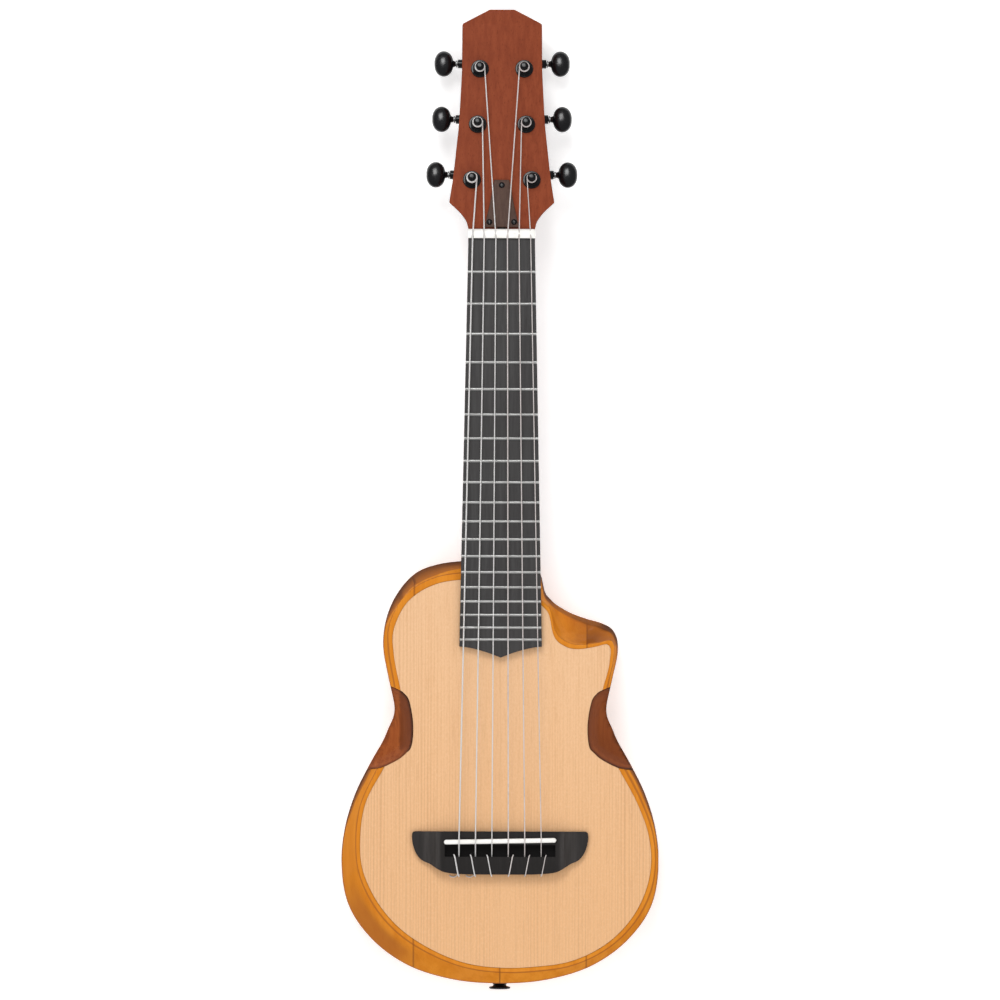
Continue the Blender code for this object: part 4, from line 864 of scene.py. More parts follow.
@dataclass(frozen=True)
class Outline:
    """Closed outline around the body's centre, drawn by its distance at each bearing."""

    bass: Plan
    treble: Plan
    front: float
    tail: float
    centre: float = 0.390

    def polar(self, x: float, away: float) -> tuple[float, float]:
        """Bearing in degrees and distance from the centre, of a place in plan."""
        ahead = self.centre - away
        return math.degrees(math.atan2(x, ahead)) % 360, math.hypot(x, ahead)

    def distance(self, bearing: float) -> float:
        """Distance of the outline at a bearing, on a cubic curve through its anchors.

        Args:
            bearing: Bearing in degrees.

        Returns:
            The distance from the centre.
        """
        anchors = outline_anchors(self)
        count = len(anchors)

        def anchor(i: int) -> tuple[float, float]:
            """Anchor by number, going on round the outline."""
            turn, place = divmod(i, count)
            return anchors[place][0] + 360 * turn, anchors[place][1]

        def slope(i: int) -> float:
            """Slope of the curve at an anchor."""
            (a, va), (b, vb), (c, vc) = anchor(i - 1), anchor(i), anchor(i + 1)
            return ((vb - va) / (b - a) * (c - b) + (vc - vb) / (c - b) * (b - a)) / (c - a)

        start = max(i for i in range(-1, count) if anchor(i)[0] <= bearing)
        (low, low_value), (high, high_value) = anchor(start), anchor(start + 1)
        span = high - low
        t = (bearing - low) / span
        return ((2 * t ** 3 - 3 * t ** 2 + 1) * low_value + (t ** 3 - 2 * t ** 2 + t) * span * slope(start)
                + (3 * t ** 2 - 2 * t ** 3) * high_value + (t ** 3 - t ** 2) * span * slope(start + 1))

    def plan(self, count: int, grow: float = 0.0) -> list[tuple[float, float]]:
        """The outline as (x, distance behind the nut) points.

        Args:
            count: Number of points.
            grow: How much further out it is drawn.

        Returns:
            The points, clockwise from the neck as seen from the front.
        """
        bearings = [360 * i / count for i in range(count)]
        return [self.spot(b, self.distance(b) + grow) for b in bearings]

    def spot(self, bearing: float, distance: float) -> tuple[float, float]:
        """(x, distance behind the nut) of a point around the centre."""
        turn = math.radians(bearing)
        return distance * math.sin(turn), self.centre - distance * math.cos(turn)


@cache
def outline_anchors(outline: Outline) -> list[tuple[float, float]]:
    """Bearings and distances of an outline's drawn points.

    Args:
        outline: The outline.

    Returns:
        Rows of (bearing in degrees, distance), sorted by bearing.
    """
    spots = [(0, outline.front), *outline.treble, (0, outline.tail)]
    spots += [(-x, away) for x, away in outline.bass]
    return sorted(outline.polar(x, away) for x, away in spots)


BOUT = ((0.0760, 0.3320), (0.0809, 0.3523), (0.0929, 0.3751), (0.1040, 0.3980), (0.1108, 0.4210),
        (0.1132, 0.4470), (0.1074, 0.4779), (0.0913, 0.5007), (0.0682, 0.5179), (0.0350, 0.5290))
BASS_SHOULDER = ((0.0290, 0.2307), (0.0450, 0.2330), (0.0584, 0.2378), (0.0747, 0.2552), (0.0818, 0.2724),
                 (0.0839, 0.2900), (0.0803, 0.3123))
TREBLE_SHOULDER = ((0.0292, 0.2420), (0.0313, 0.2517), (0.0359, 0.2581), (0.0451, 0.2649), (0.0614, 0.2717),
                   (0.0723, 0.2749), (0.0796, 0.2790), (0.0832, 0.2860), (0.0838, 0.2930), (0.0803, 0.3123))
BASS_EDGE = ((0.0290, 0.2440), (0.0436, 0.2463), (0.0590, 0.2535), (0.0672, 0.2608), (0.0735, 0.2717),
             (0.0771, 0.2850), (0.0762, 0.2972), (0.0715, 0.3218), (0.0700, 0.3340), (0.0727, 0.3550),
             (0.0836, 0.3794), (0.0966, 0.4053), (0.0998, 0.4280), (0.0982, 0.4503), (0.0928, 0.4645),
             (0.0738, 0.4905), (0.0477, 0.5083), (0.0240, 0.5175))
TREBLE_EDGE = ((0.0290, 0.2620), (0.0342, 0.2680), (0.0369, 0.2808), (0.0460, 0.2913), (0.0560, 0.2932),
               (0.0687, 0.2913), (0.0765, 0.2898), (0.0780, 0.2915), (0.0779, 0.3018), (0.0725, 0.3232),
               (0.0705, 0.3340), (0.0735, 0.3550), (0.0850, 0.3794), (0.0993, 0.4066), (0.1060, 0.4260),
               (0.1077, 0.4480), (0.1000, 0.4752), (0.0830, 0.4977), (0.0523, 0.5154), (0.0240, 0.5200))
HOLLOW = ((0.0250, 0.2800), (0.0480, 0.2960), (0.0565, 0.3200), (0.0560, 0.3480), (0.0690, 0.3830),
          (0.0880, 0.4080), (0.0930, 0.4300), (0.0875, 0.4620), (0.0690, 0.4890), (0.0380, 0.5075))
SCOOP_EDGE = ((0.0805, 0.3194), (0.0718, 0.3231), (0.0685, 0.3256), (0.0660, 0.3288), (0.0646, 0.3332),
              (0.0633, 0.3398), (0.0625, 0.3474), (0.0626, 0.3560), (0.0640, 0.3637), (0.0668, 0.3670),
              (0.0711, 0.3709), (0.0765, 0.3741), (0.0820, 0.3768), (0.0874, 0.3785), (0.0985, 0.3797))


@dataclass
class Body:
    """Carved body of four glued boards, with its soundboard and the dark inlays in its waist."""

    rim: Outline = Outline(BASS_SHOULDER + BOUT, TREBLE_SHOULDER + BOUT, 0.2305, 0.5320)
    edge: Outline = Outline(BASS_EDGE, TREBLE_EDGE, 0.2440, 0.5207)
    hollow: Outline = Outline(HOLLOW, HOLLOW, 0.2790, 0.5140)
    bearings: int = 480
    corner_steps: int = 6
    slope_steps: int = 10
    back_rounding: float = 0.008
    lip_rest: float = 0.0026
    ridge_rounding: float = 0.0007
    steepness: float = 1.8
    soundboard_thickness: float = 0.0025
    floor: float = 0.0045
    glue_line: float = 0.0617
    pin_hole_end: float = 0.521
    cutaway: tuple[float, float] = (8, 44)
    cutaway_end: float = 0.290
    scoop_centre: tuple[float, float] = (0.1040, 0.3500)
    scoop_depth: float = 0.020
    scoop_falls: Plan = ((-0.06, -0.20), (0.0, 0.0), (0.12, 0.38), (0.30, 0.70), (0.60, 0.92), (0.97, 1.0))
    inlay_depth: float = 0.030
    lip: Plan = ((0, 0.0042), (12, 0.0030), (20, 0.0034), (34, 0.0034), (42, 0.0040), (62, 0.0040), (80, 0.0030),
                 (170, 0.0026), (240, 0.0027), (262, 0.0030), (285, 0.0042), (310, 0.0048), (360, 0.0042))
    drop: Plan = ((0, 0.003), (10, 0.006), (18, 0.018), (30, 0.018), (38, 0.006), (48, 0.0018), (110, 0.0018),
                  (170, 0.006), (200, 0.011), (240, 0.012), (270, 0.005), (300, 0.0024), (360, 0.003))
    scoop_band: Plan = ((0.030, 0.0010), (0.035, 0.0017), (0.0458, 0.0030), (0.0565, 0.0047), (0.063, 0.0060),
                        (0.0736, 0.0054), (0.080, 0.0032), (0.084, 0.0012))
    cove: Plan = ((0, 1.0), (12, 1.2), (20, 2.4), (32, 2.4), (40, 1.0), (360, 1.0))
    shoulder: Plan = ((0, 0.005), (12, 0.003), (37, 0.0028), (46, 0.0010), (70, 0.0010), (82, 0.0030),
                      (94, 0.0026), (108, 0.0009), (252, 0.0009), (262, 0.0024), (271, 0.0034), (280, 0.0030),
                      (292, 0.0010), (322, 0.0010), (333, 0.0060), (340, 0.0075), (350, 0.0055), (360, 0.005))

    def side(self, bearing: float) -> list[Vector]:
        """The side at one bearing, as (distance, height) from the back up to the soundboard.

        Args:
            bearing: Bearing in degrees.

        Returns:
            The points of the side.
        """
        rim = self.rim.distance(bearing)
        lip = min(self.edge.distance(bearing) + blended(self.lip, bearing), rim - self.lip_rest / 2)
        shoulder, drop = blended(self.shoulder, bearing), blended(self.drop, bearing)
        cove = blended(self.cove, bearing)
        ridge = max(rim - shoulder, lip + self.lip_rest / 8)
        low, steps = PLACES.top - drop, self.slope_steps
        slope = [Vector((ridge + (lip - ridge) * i / steps, low + drop * (i / steps) ** cove))
                 for i in range(steps + 1)]
        corners = [Vector((rim - 2 * self.back_rounding, 0)), Vector((rim, 0)),
                   Vector((rim, low - shoulder * self.steepness)), *slope,
                   Vector((lip - self.lip_rest / 2, PLACES.top))]
        radii = [self.back_rounding, self.ridge_rounding, self.ridge_rounding, *[0] * (steps - 1),
                 self.ridge_rounding / 2]
        return rounded(corners, radii, self.corner_steps)

    def outward(self, bearing: float) -> float:
        """How much the side at a bearing faces the headstock, from -1 to 1."""
        (x0, a0), (x1, a1) = (self.rim.spot(b, self.rim.distance(b % 360)) for b in (bearing - 1, bearing + 1))
        return (x1 - x0) / math.hypot(x1 - x0, a1 - a0)

    def shade(self, vertex: bpy.types.MeshVertex) -> float:
        """Darker outside the ridge as a burst, with painted shade where sides face the headstock and in the cutaway.

        Args:
            vertex: A vertex of the body.

        Returns:
            Shade from 0 to 1.
        """
        x, away = vertex.co.x, PLACES.nut_y - vertex.co.y
        bearing, reach = self.rim.polar(x, away)
        rim = self.rim.distance(bearing)
        ridge = rim - blended(self.shoulder, bearing)
        # Painted shade: the side is darker where it faces the headstock.
        facing = 0.58 * eased(self.outward(bearing), -0.55, 0.40)
        outmost = 0.14 * eased(reach, rim - 0.002, rim)
        shade = eased(reach, ridge - 0.0004, ridge + 0.0008) * (0.28 + facing + outmost)
        below = PLACES.top - vertex.co.z
        start, end = self.cutaway
        # Painted shade browning across the cutaway's scoop, darkest on the outer board, with a dark band along its rim.
        if start < bearing < end and away < self.cutaway_end and below > 0.0004:
            bowl = 0.30 * eased(x, 0.044, 0.058) + 0.42 * (x > self.glue_line)
            bowl -= 0.20 * eased(x, 0.066, 0.078)
            band = blended(self.scoop_band, x)
            shade = max(bowl, shade * 1.25, 0.92 * eased(reach, rim - band * 1.25, rim - band * 0.55))
        elif below > 0.0006:
            # Darker in the middle of the lower-left bevel.
            tail = 0.42 * eased(bearing, 198, 216) * (1 - eased(bearing, 224, 246))
            shade = max(shade, tail * eased(below, 0.001, 0.006))
        # Lower down the sides the shade evens out to a burst tone.
        return min(1.0, shade + (0.5 - shade) * eased(below, 0.010, 0.030))

    def height(self, x: float, away: float) -> float:
        """Height of the carved upper surface at a place in plan.

        Args:
            x: Distance from the centreline.
            away: Distance behind the nut.

        Returns:
            The height.
        """
        bearing, distance = self.rim.polar(x, away)
        side, steps = self.side(bearing), self.corner_steps
        for outer, inner in zip(side[steps:], side[steps + 1:]):
            if inner.x <= distance <= outer.x and outer.x > inner.x:
                return outer.y + (inner.y - outer.y) * (outer.x - distance) / (outer.x - inner.x)
        return PLACES.top if distance < side[-1].x else side[2 * steps].y

    def form(self, name: str) -> Shape:
        """The whole carved form, before anything is let into it.

        Args:
            name: Name of the shape.

        Returns:
            The form.
        """
        bearings = [360 * i / self.bearings for i in range(self.bearings)]
        sides = [self.side(b) for b in bearings]
        rings = []
        for level in range(len(sides[0])):
            spots = [(self.rim.spot(b, s[level].x), s[level].y) for b, s in zip(bearings, sides)]
            rings.append([PLACES.at(min(max(x, CAD_BOX[0][0]), CAD_BOX[1][0]), -away, z) for (x, away), z in spots])
        return loft(name, rings)

    def scoop_edge(self, hand: Hand, grow: float = 0.0) -> list[Vector]:
        """Edge of a scoop in plan, drawn further out by grow.

        Args:
            hand: Side of the scoop.
            grow: How much further out it is drawn.

        Returns:
            Points of (x, distance behind the nut).
        """
        centre = Vector(self.scoop_centre)
        edge = []
        for spot in smooth_curve([Vector(s) for s in SCOOP_EDGE], 4):
            out = spot - centre
            spot = centre + out * (1 + grow / out.length)
            edge.append(Vector((hand.value * spot.x, spot.y)))
        return edge

    def inlay_block(self, name: str, hand: Hand, grow: float, high: float) -> Shape:
        """Block over the plan of an inlay.

        Args:
            name: Name of the shape.
            hand: Side of the inlay.
            grow: How much larger it is drawn.
            high: Height of its top.

        Returns:
            The block.
        """
        centre = (hand.value * self.scoop_centre[0], self.scoop_centre[1])
        outline = [tuple(spot) for spot in self.scoop_edge(hand, grow)] + [centre]
        return prism(name, outline, PLACES.top - self.inlay_depth - grow, high)

    def scoop(self, hand: Hand) -> Shape:
        """What a scoop takes away: a bowl that falls from its edge to its centre.

        Args:
            hand: Side of the scoop.

        Returns:
            The shape that is cut away.
        """
        bowl = smooth_curve([Vector(row) for row in self.scoop_falls], 4)
        centre = Vector((hand.value * self.scoop_centre[0], self.scoop_centre[1]))
        ceiling = PLACES.top + PLACES.cut
        rings = []
        for spot in self.scoop_edge(hand):
            start = self.height(spot.x, spot.y)
            ring = []
            for share, fall in bowl:
                point = spot + (centre - spot) * share
                ring.append(PLACES.at(point.x, -point.y, start - self.scoop_depth * fall))
            ring += [Vector((ring[-1].x, ring[-1].y, ceiling)), Vector((ring[0].x, ring[0].y, ceiling))]
            rings.append(ring)
        return loft("scoop", rings)

    def inlay_shade(self, vertex: bpy.types.MeshVertex) -> float:
        """Shade of an inlay: a darker band inside on the bass side, dark edges, a painted highlight by its lower edge.

        Args:
            vertex: A vertex of the inlay.

        Returns:
            Shade from 0 to 1.
        """
        x, away = vertex.co.x, PLACES.nut_y - vertex.co.y
        if x > 0:
            tone = 0.36 + 0.12 * eased(away, 0.345, 0.370)
        else:
            tone = 0.04 + 0.56 * eased(x, -0.0726, -0.0712) * (1 - eased(away, 0.362, 0.372))
        bearing, reach = self.rim.polar(x, away)
        rim = self.rim.distance(bearing)
        flank = eased(reach, rim - 0.0024, rim - 0.0010)
        edge = min((Vector((abs(x), away)) - spot).length for spot in self.scoop_edge(Hand.TREBLE))
        border = 1 - eased(edge, 0.0004, 0.0016)
        # Painted highlight: a lighter band just inside the lower edge.
        glint = eased(edge, 0.0012, 0.0020) * (1 - eased(edge, 0.0028, 0.0040)) * eased(away, 0.352, 0.362)
        return max(0.0, min(1.0, tone + 0.4 * flank + 0.42 * border - 0.22 * glint))

    def build(self) -> None:
        """Models boards, soundboard and inlays, and dresses them."""
        top, cut, gap = PLACES.top, PLACES.cut, PLACES.gap
        form = self.form("form")
        blank = copied(form, "blank", Matrix.Identity(4))
        under = top - self.soundboard_thickness
        combine(blank, prism("chamber", self.hollow.plan(180), self.floor, top + cut))
        combine(blank, prism("rebate", self.edge.plan(360, gap), under - gap, top + cut))
        half = PLACES.neck_half_width(PLACES.neck_joint)
        combine(blank, block("joint", PLACES.at(-half, -PLACES.neck_joint - gap / 2, -cut),
                             PLACES.at(half, 0, top + cut)))
        combine(blank, rod("pin_hole", PLACES.at(0, -StrapButton.tail - cut, StrapButton.height),
                           PLACES.at(0, -self.pin_hole_end + gap, StrapButton.height), StrapButton.bore))
        board = prism("soundboard_spruce", self.edge.plan(360), under, top)
        for hand in Hand:
            notch = self.inlay_block("notch", hand, gap, top + cut)
            combine(blank, notch, keep=True)
            combine(board, notch)
            inlay = self.inlay_block(f"waist_inlay_{hand.name.lower()}_wood", hand, 0, top + cut / 2)
            combine(inlay, form, "INTERSECT", keep=True)
            combine(inlay, self.scoop(hand))
            paint(inlay, self.inlay_shade)
            deliver(inlay, INLAY, [f"waist_inlay_{hand.name.lower()}"])
        deliver(board, SPRUCE, ["soundboard"])
        reach, behind, seam = 0.2, 0.55, gap / 10
        spans = {"bass_outer": (-reach, -self.glue_line - seam), "bass_inner": (-self.glue_line + seam, -seam),
                 "treble_inner": (seam, self.glue_line - seam), "treble_outer": (self.glue_line + seam, reach)}
        for name, (low, high) in spans.items():
            slab = block(f"body_{name}_wood", PLACES.at(low, -behind, -cut), PLACES.at(high, 0, top + cut))
            combine(slab, blank, "INTERSECT", keep=True)
            paint(slab, self.shade)
            deliver(slab, AMBER, [f"body_board_{name}"])
        for guide in (form, blank):
            bpy.data.objects.remove(guide)
        for node in ("brace_upper", "brace_lower", "bridge_plate"):
            dress_node(node, RAW_SPRUCE)


# Neck, fretboard and nut

@dataclass
class Neck:
    """Neck with its heel and tilted headstock in one piece, the fretboard, the frets and the nut."""

    depth_at_nut: float = 0.0152
    depth_at_heel: float = 0.0174
    heel_depth: float = 0.0500
    heel_length: float = 0.0340
    heel_curve: Plan = ((0, 1.0), (0.2, 0.84), (0.4, 0.52), (0.62, 0.24), (1.0, 0.04))
    neck_inset: float = 0.0004
    roundness: float = 0.8
    front_edge: float = 0.0008
    back_edge: float = 0.0018
    head_outline: Plan = ((0.0, 0.02405), (0.0049, 0.0253), (0.0093, 0.0278), (0.0137, 0.0318), (0.0189, 0.0376),
                          (0.0355, 0.0350), (0.0759, 0.0307), (0.1168, 0.0286), (0.1499, 0.0285), (0.1603, 0.0091))
    head_rounding: tuple[float, ...] = (0.002, 0.002, 0.003, 0.0008, 0.006, 0.006, 0.006, 0.0012)
    foot_squareness: float = 0.3
    squaring_length: float = 0.0137
    fret_count: int = 19
    fret_width: float = 0.0020
    fret_inset: float = 0.0002
    fretboard_tip: float = 0.0078
    tip_hollow: float = 1.6
    nut_height: float = 0.0084
    nut_flat: float = 0.0020
    nut_fall: float = 0.0022
    channel_half: float = 0.0033
    rod_depth: float = 0.0060
    rod_end: float = 0.2150
    pocket_half: float = 0.0050
    pocket_span: tuple[float, float] = (0.001, 0.027)
    pocket_depth: float = 0.0098
    bushing_hole: float = 0.0047
    screw_hole: float = 0.0013
    screw_hole_depth: float = 0.008

    def section(self, half_width: float, depth: float, square: float) -> list[tuple[float, float]]:
        """Points around the neck, round below or a board with softened edges.

        Args:
            half_width: Half of its width.
            depth: Its depth.
            square: 0 for a round back, 1 for a board.

        Returns:
            Points of (x, height).
        """
        front, back = min(self.front_edge, half_width / 4), min(self.back_edge, half_width / 4)
        corners = [(half_width - front, 0, half_width, 0, half_width, -front, 4),
                   (half_width, back - depth, half_width, -depth, half_width - back, -depth, 6)]
        board = []
        for ax, ay, bx, by, cx, cy, steps in corners:
            for i in range(steps):
                t = i / (steps - 1)
                board.append(((1 - t) ** 2 * ax + 2 * t * (1 - t) * bx + t * t * cx,
                              (1 - t) ** 2 * ay + 2 * t * (1 - t) * by + t * t * cy))
        board += [(board[-1][0] * (1 - i / 5), -depth) for i in range(1, 5)]
        board += [(0, -depth)] + [(-x, z) for x, z in reversed(board)]
        points = []
        for i, (flat_x, flat_z) in enumerate(board):
            angle = math.pi * i / (len(board) - 1)
            round_x = half_width * math.copysign(abs(math.cos(angle)) ** self.roundness, math.cos(angle))
            round_z = -depth * abs(math.sin(angle)) ** self.roundness
            points.append((round_x + (flat_x - round_x) * square, round_z + (flat_z - round_z) * square))
        return points

    @staticmethod
    def head_half_width(outline: Sequence[Vector], along: float) -> float:
        """Half width of the headstock at a distance from its foot, on its drawn outline.

        Args:
            outline: Points of (distance, half width).
            along: Distance from the foot.

        Returns:
            The half width.
        """
        for low, high in zip(outline, outline[1:]):
            if low.x <= along <= high.x and high.x > low.x:
                return low.y + (high.y - low.y) * (along - low.x) / (high.x - low.x)
        return outline[0].y if along < outline[0].x else outline[-1].y

    def wood(self) -> Shape:
        """Neck and headstock as one skin, with the rod's channel and pocket and the screw holes.

        Returns:
            The neck.
        """
        top, gap, cut = PLACES.top, PLACES.gap, PLACES.cut
        line = smooth_curve([Vector(row) for row in self.heel_curve], 4)
        growth = self.heel_depth - self.depth_at_heel
        stations = [(PLACES.neck_joint - gap / 2 - self.heel_length * share, self.depth_at_heel + growth * rise)
                    for share, rise in line]
        start, end = stations[-1][0], 2 * PLACES.nut_thickness
        for i in range(1, 9):
            away = start + (end - start) * i / 8
            stations.append((away, self.depth_at_nut + (self.depth_at_heel - self.depth_at_nut) * away / start))
        rings = []
        for away, depth in stations:
            section = self.section(PLACES.neck_half_width(away) - self.neck_inset, depth, 0)
            rings.append([PLACES.at(x, -away, top + z) for x, z in section])
        outline = rounded([Vector(p) for p in self.head_outline], self.head_rounding, 5)
        for along, half_width in outline:
            square = min(1.0, self.foot_squareness + along / self.squaring_length)
            ring = []
            for x, z in self.section(half_width, PLACES.head_thickness, square):
                below = self.head_half_width(outline, along + z * math.tan(PLACES.head_slope))
                ring.append(PLACES.head_plane @ Vector((x * min(1.0, below / half_width), along, z)))
            rings.append(ring)
        wood = loft("neck_mahogany", rings)
        low = top - self.rod_depth - self.channel_half
        combine(wood, block("channel", PLACES.at(-self.channel_half, -self.rod_end - gap, low),
                            PLACES.at(self.channel_half, PLACES.nut_thickness + cut / 2, top + cut)))
        near, far = self.pocket_span
        pocket = block("pocket", (-self.pocket_half, near, -self.pocket_depth), (self.pocket_half, far, cut))
        combine(wood, moved(pocket, PLACES.head_plane))
        for x, along in TunerSet.spots().values():
            hole = rod("hole", (x, along, -PLACES.head_thickness - cut), (x, along, cut), self.bushing_hole)
            combine(wood, moved(hole, PLACES.head_plane))
        for x, along in RodCover.screws().values():
            hole = rod("hole", (x, along, -self.screw_hole_depth), (x, along, cut), self.screw_hole, 16)
            combine(wood, moved(hole, PLACES.head_plane))
        return wood

    def shade(self, vertex: bpy.types.MeshVertex) -> float:
        """Painted shade on the neck's wood: its sides and back are darker than the front of the headstock.

        Args:
            vertex: A vertex of the neck.

        Returns:
            Shade from 0 to 1.
        """
        spot = PLACES.head_plane.inverted() @ vertex.co
        below = -spot.z if spot.y > 0 else PLACES.top - vertex.co.z
        return 0.6 * eased(below, 0.0002, 0.0010)

    def fretboard(self) -> Shape:
        """Tapered fretboard with softened edges and a hollowed, pointed end.

        Returns:
            The fretboard.
        """
        end = PLACES.fretboard_end_width / 2
        steps = 12
        tip = [(end * (1 - i / steps), PLACES.fretboard_length + self.fretboard_tip * (i / steps) ** self.tip_hollow)
               for i in range(steps + 1)]
        half = [(PLACES.nut_width / 2 - PLACES.gap, PLACES.gap), *tip]
        outline = half + [(-x, away) for x, away in reversed(half) if x > 0]
        board = prism("fretboard_ebony", outline, PLACES.top + PLACES.gap, PLACES.fretboard_top)
        return soften(board, 0.0004, 2, 40)

    def fret(self) -> Shape:
        """One fret of unit half width, lying across at the nut.

        Returns:
            The fret.
        """
        crown = [(math.cos(math.pi * i / 10) * self.fret_width / 2,
                  math.sin(math.pi * i / 10) * PLACES.fret_height) for i in range(11)]
        rings = [[Vector((x, y, PLACES.fretboard_top + z * rise)) for y, z in crown]
                 for x, rise in ((-1, 0.5), (-0.985, 1), (0.985, 1), (1, 0.5))]
        return loft("fret_form", rings)

    def nut(self) -> Shape:
        """Bone nut, lower at its back, with a slot under each string.

        Returns:
            The nut.
        """
        front, back = -PLACES.gap / 2, PLACES.nut_thickness - PLACES.gap
        low, high = PLACES.top + PLACES.gap, PLACES.top + self.nut_height
        profile = rounded([Vector((front, low)), Vector((front, high)), Vector((front + self.nut_flat, high)),
                           Vector((back - 0.001, high - self.nut_fall / 2)), Vector((back, high - self.nut_fall)),
                           Vector((back, low))], (0.0006, 0.0015, 0.002, 0.0008), 4)
        half = PLACES.nut_width / 2
        nut = loft("nut_bone", [[PLACES.at(x, y, z) for y, z in profile] for x in (-half, half)])
        soften(nut, 0.0003, 2, 60)
        for string in StringSet.all():
            start, end = string.nut_point(), string.wrap()[0]
            line = (end - start).normalized() * PLACES.cut
            groove = rod("groove", start - line, start + line, string.radius + PLACES.gap, 16)
            lift = block("lift", start + Vector((-string.radius - PLACES.gap, -PLACES.cut, 0)),
                         start + Vector((string.radius + PLACES.gap, PLACES.cut, 0.004)))
            combine(nut, groove)
            combine(nut, lift)
        return nut

    def build(self) -> None:
        """Models the pieces of the neck and dresses them."""
        wood = paint(self.wood(), self.shade)
        deliver(wood, MAHOGANY, ["neck"], angle=35)
        board = deliver(self.fretboard(), BOARD_EBONY, ["fretboard"])
        form = self.fret()
        for number in range(1, self.fret_count + 1):
            away = PLACES.scale * (1 - 2 ** (-number / 12))
            half = PLACES.neck_half_width(away) - self.fret_inset
            place = Matrix.Translation((0, PLACES.nut_y - away, 0)) @ Matrix.Diagonal((half, 1, 1, 1))
            deliver(copied(form, f"fret_{number:02d}", place), FRET_METAL)
        bpy.data.objects.remove(form)
        deliver(self.nut(), BONE, ["nut"])
        LOG.info("%s carries %d frets", board.name, self.fret_count)


# Bridge

@dataclass
class Bridge:
    """Ebony bridge with low wings, a tie block and a slanted bone saddle."""

    outline: Plan = ((0.0606, -0.0066), (0.0622, -0.0060), (0.0629, -0.0042), (0.0627, 0.0000), (0.0619, 0.0040),
                     (0.0600, 0.0090), (0.0570, 0.0130), (0.0540, 0.0150), (0.0507, 0.0163), (0.0476, 0.0183),
                     (0.0436, 0.0208), (0.0396, 0.0225), (0.0330, 0.0235), (0.0220, 0.0241))
    front: float = -0.0066
    back: float = 0.0241
    height: float = 0.0080
    wing_start: float = 0.0450
    wing_slope_end: float = 0.0500
    wing_height: float = 0.0042
    trough: tuple[float, float] = (0.0030, 0.0115)
    trough_half: float = 0.0395
    trough_floor: float = 0.0038
    hole_height: float = 0.0049
    hole_radius: float = 0.0010
    saddle_length: float = 0.0802
    saddle_thickness: float = 0.0034
    saddle_slant: float = math.radians(1.07)
    slot_floor: float = 0.0030

    def saddle(self, name: str, grow: float, low: float, high: float) -> Shape:
        """Slanted bar with round ends, drawn larger by grow.

        Args:
            name: Name of the shape.
            grow: How much larger it is drawn.
            low: Height of its foot.
            high: Height of its top.

        Returns:
            The bar.
        """
        radius = self.saddle_thickness / 2 + grow
        middle = (self.saddle_length - self.saddle_thickness) / 2
        angles = [math.radians(90 - 15 * i) for i in range(13)]
        bar = [(middle + radius * math.cos(a), radius * math.sin(a)) for a in angles]
        bar += [(-x, -y) for x, y in bar]
        cos, sin = math.cos(self.saddle_slant), math.sin(self.saddle_slant)
        outline = [(x * cos - y * sin, PLACES.scale + PLACES.gap - x * sin - y * cos) for x, y in bar]
        return prism(name, outline, low, high)

    def wing_cut(self, hand: Hand) -> Shape:
        """What is taken off above a wing: a hollow that runs out to its end.

        Args:
            hand: Side of the wing.

        Returns:
            The shape that is cut away.
        """
        base, top = PLACES.top + PLACES.gap, PLACES.top + PLACES.gap + self.height
        reach = self.outline[2][0] + PLACES.cut
        line = rounded([Vector((self.wing_start, top + 0.0005)), Vector((self.wing_slope_end, base + self.wing_height)),
                        Vector((reach, base + self.wing_height * 0.75))], (0.004,), 8)
        ring = line + [Vector((reach, top + PLACES.cut)), Vector((self.wing_start, top + PLACES.cut))]
        back, front = PLACES.scale + self.back, PLACES.scale + self.front
        return loft("wing", [[PLACES.at(hand.value * p.x, -away, p.y) for p in ring]
                             for away in (back + PLACES.cut, front - PLACES.cut)])

    def shade(self, vertex: bpy.types.MeshVertex) -> float:
        """Painted shade on the ebony, which is deepest in the trough.

        Args:
            vertex: A vertex of the bridge.

        Returns:
            Shade from 0 to 1.
        """
        x, behind = abs(vertex.co.x), PLACES.nut_y - vertex.co.y - PLACES.scale
        deep = vertex.co.z < PLACES.top + self.height - 0.0012 and x < self.trough_half + 0.001
        return 0.5 if deep and self.trough[0] - 0.001 < behind < self.trough[1] + 0.001 else 0.0

    def build(self) -> None:
        """Models bridge and saddle and dresses them."""
        base = PLACES.top + PLACES.gap
        top = base + self.height
        half = [(x, PLACES.scale + behind) for x, behind in smooth_curve([Vector(p) for p in self.outline], 3)]
        wood = prism("bridge_block", half + [(-x, away) for x, away in reversed(half)], base, top)
        for hand in Hand:
            combine(wood, self.wing_cut(hand))
        start, end = (PLACES.scale + t for t in self.trough)
        combine(wood, block("trough", PLACES.at(-self.trough_half, -end, base + self.trough_floor),
                            PLACES.at(self.trough_half, -start, top + PLACES.cut)))
        soften(wood, 0.0005, 3, 35)
        combine(wood, self.saddle("slot", PLACES.gap / 2, base + self.slot_floor, top + PLACES.cut))
        for string in StringSet.all():
            x = string.offset(StringSet.saddle_pitch)
            combine(wood, rod("hole", PLACES.at(x, -end + 0.001, base + self.hole_height),
                              PLACES.at(x, -PLACES.scale - self.back - PLACES.cut, base + self.hole_height),
                              self.hole_radius, 16))
        deliver(paint(wood, self.shade), BRIDGE_EBONY, ["bridge"])
        saddle = self.saddle("saddle_bone", 0, base + self.slot_floor + PLACES.gap, PLACES.saddle_top)
        deliver(soften(saddle, 0.0010, 4, 60), BONE, ["saddle"])


# Strings

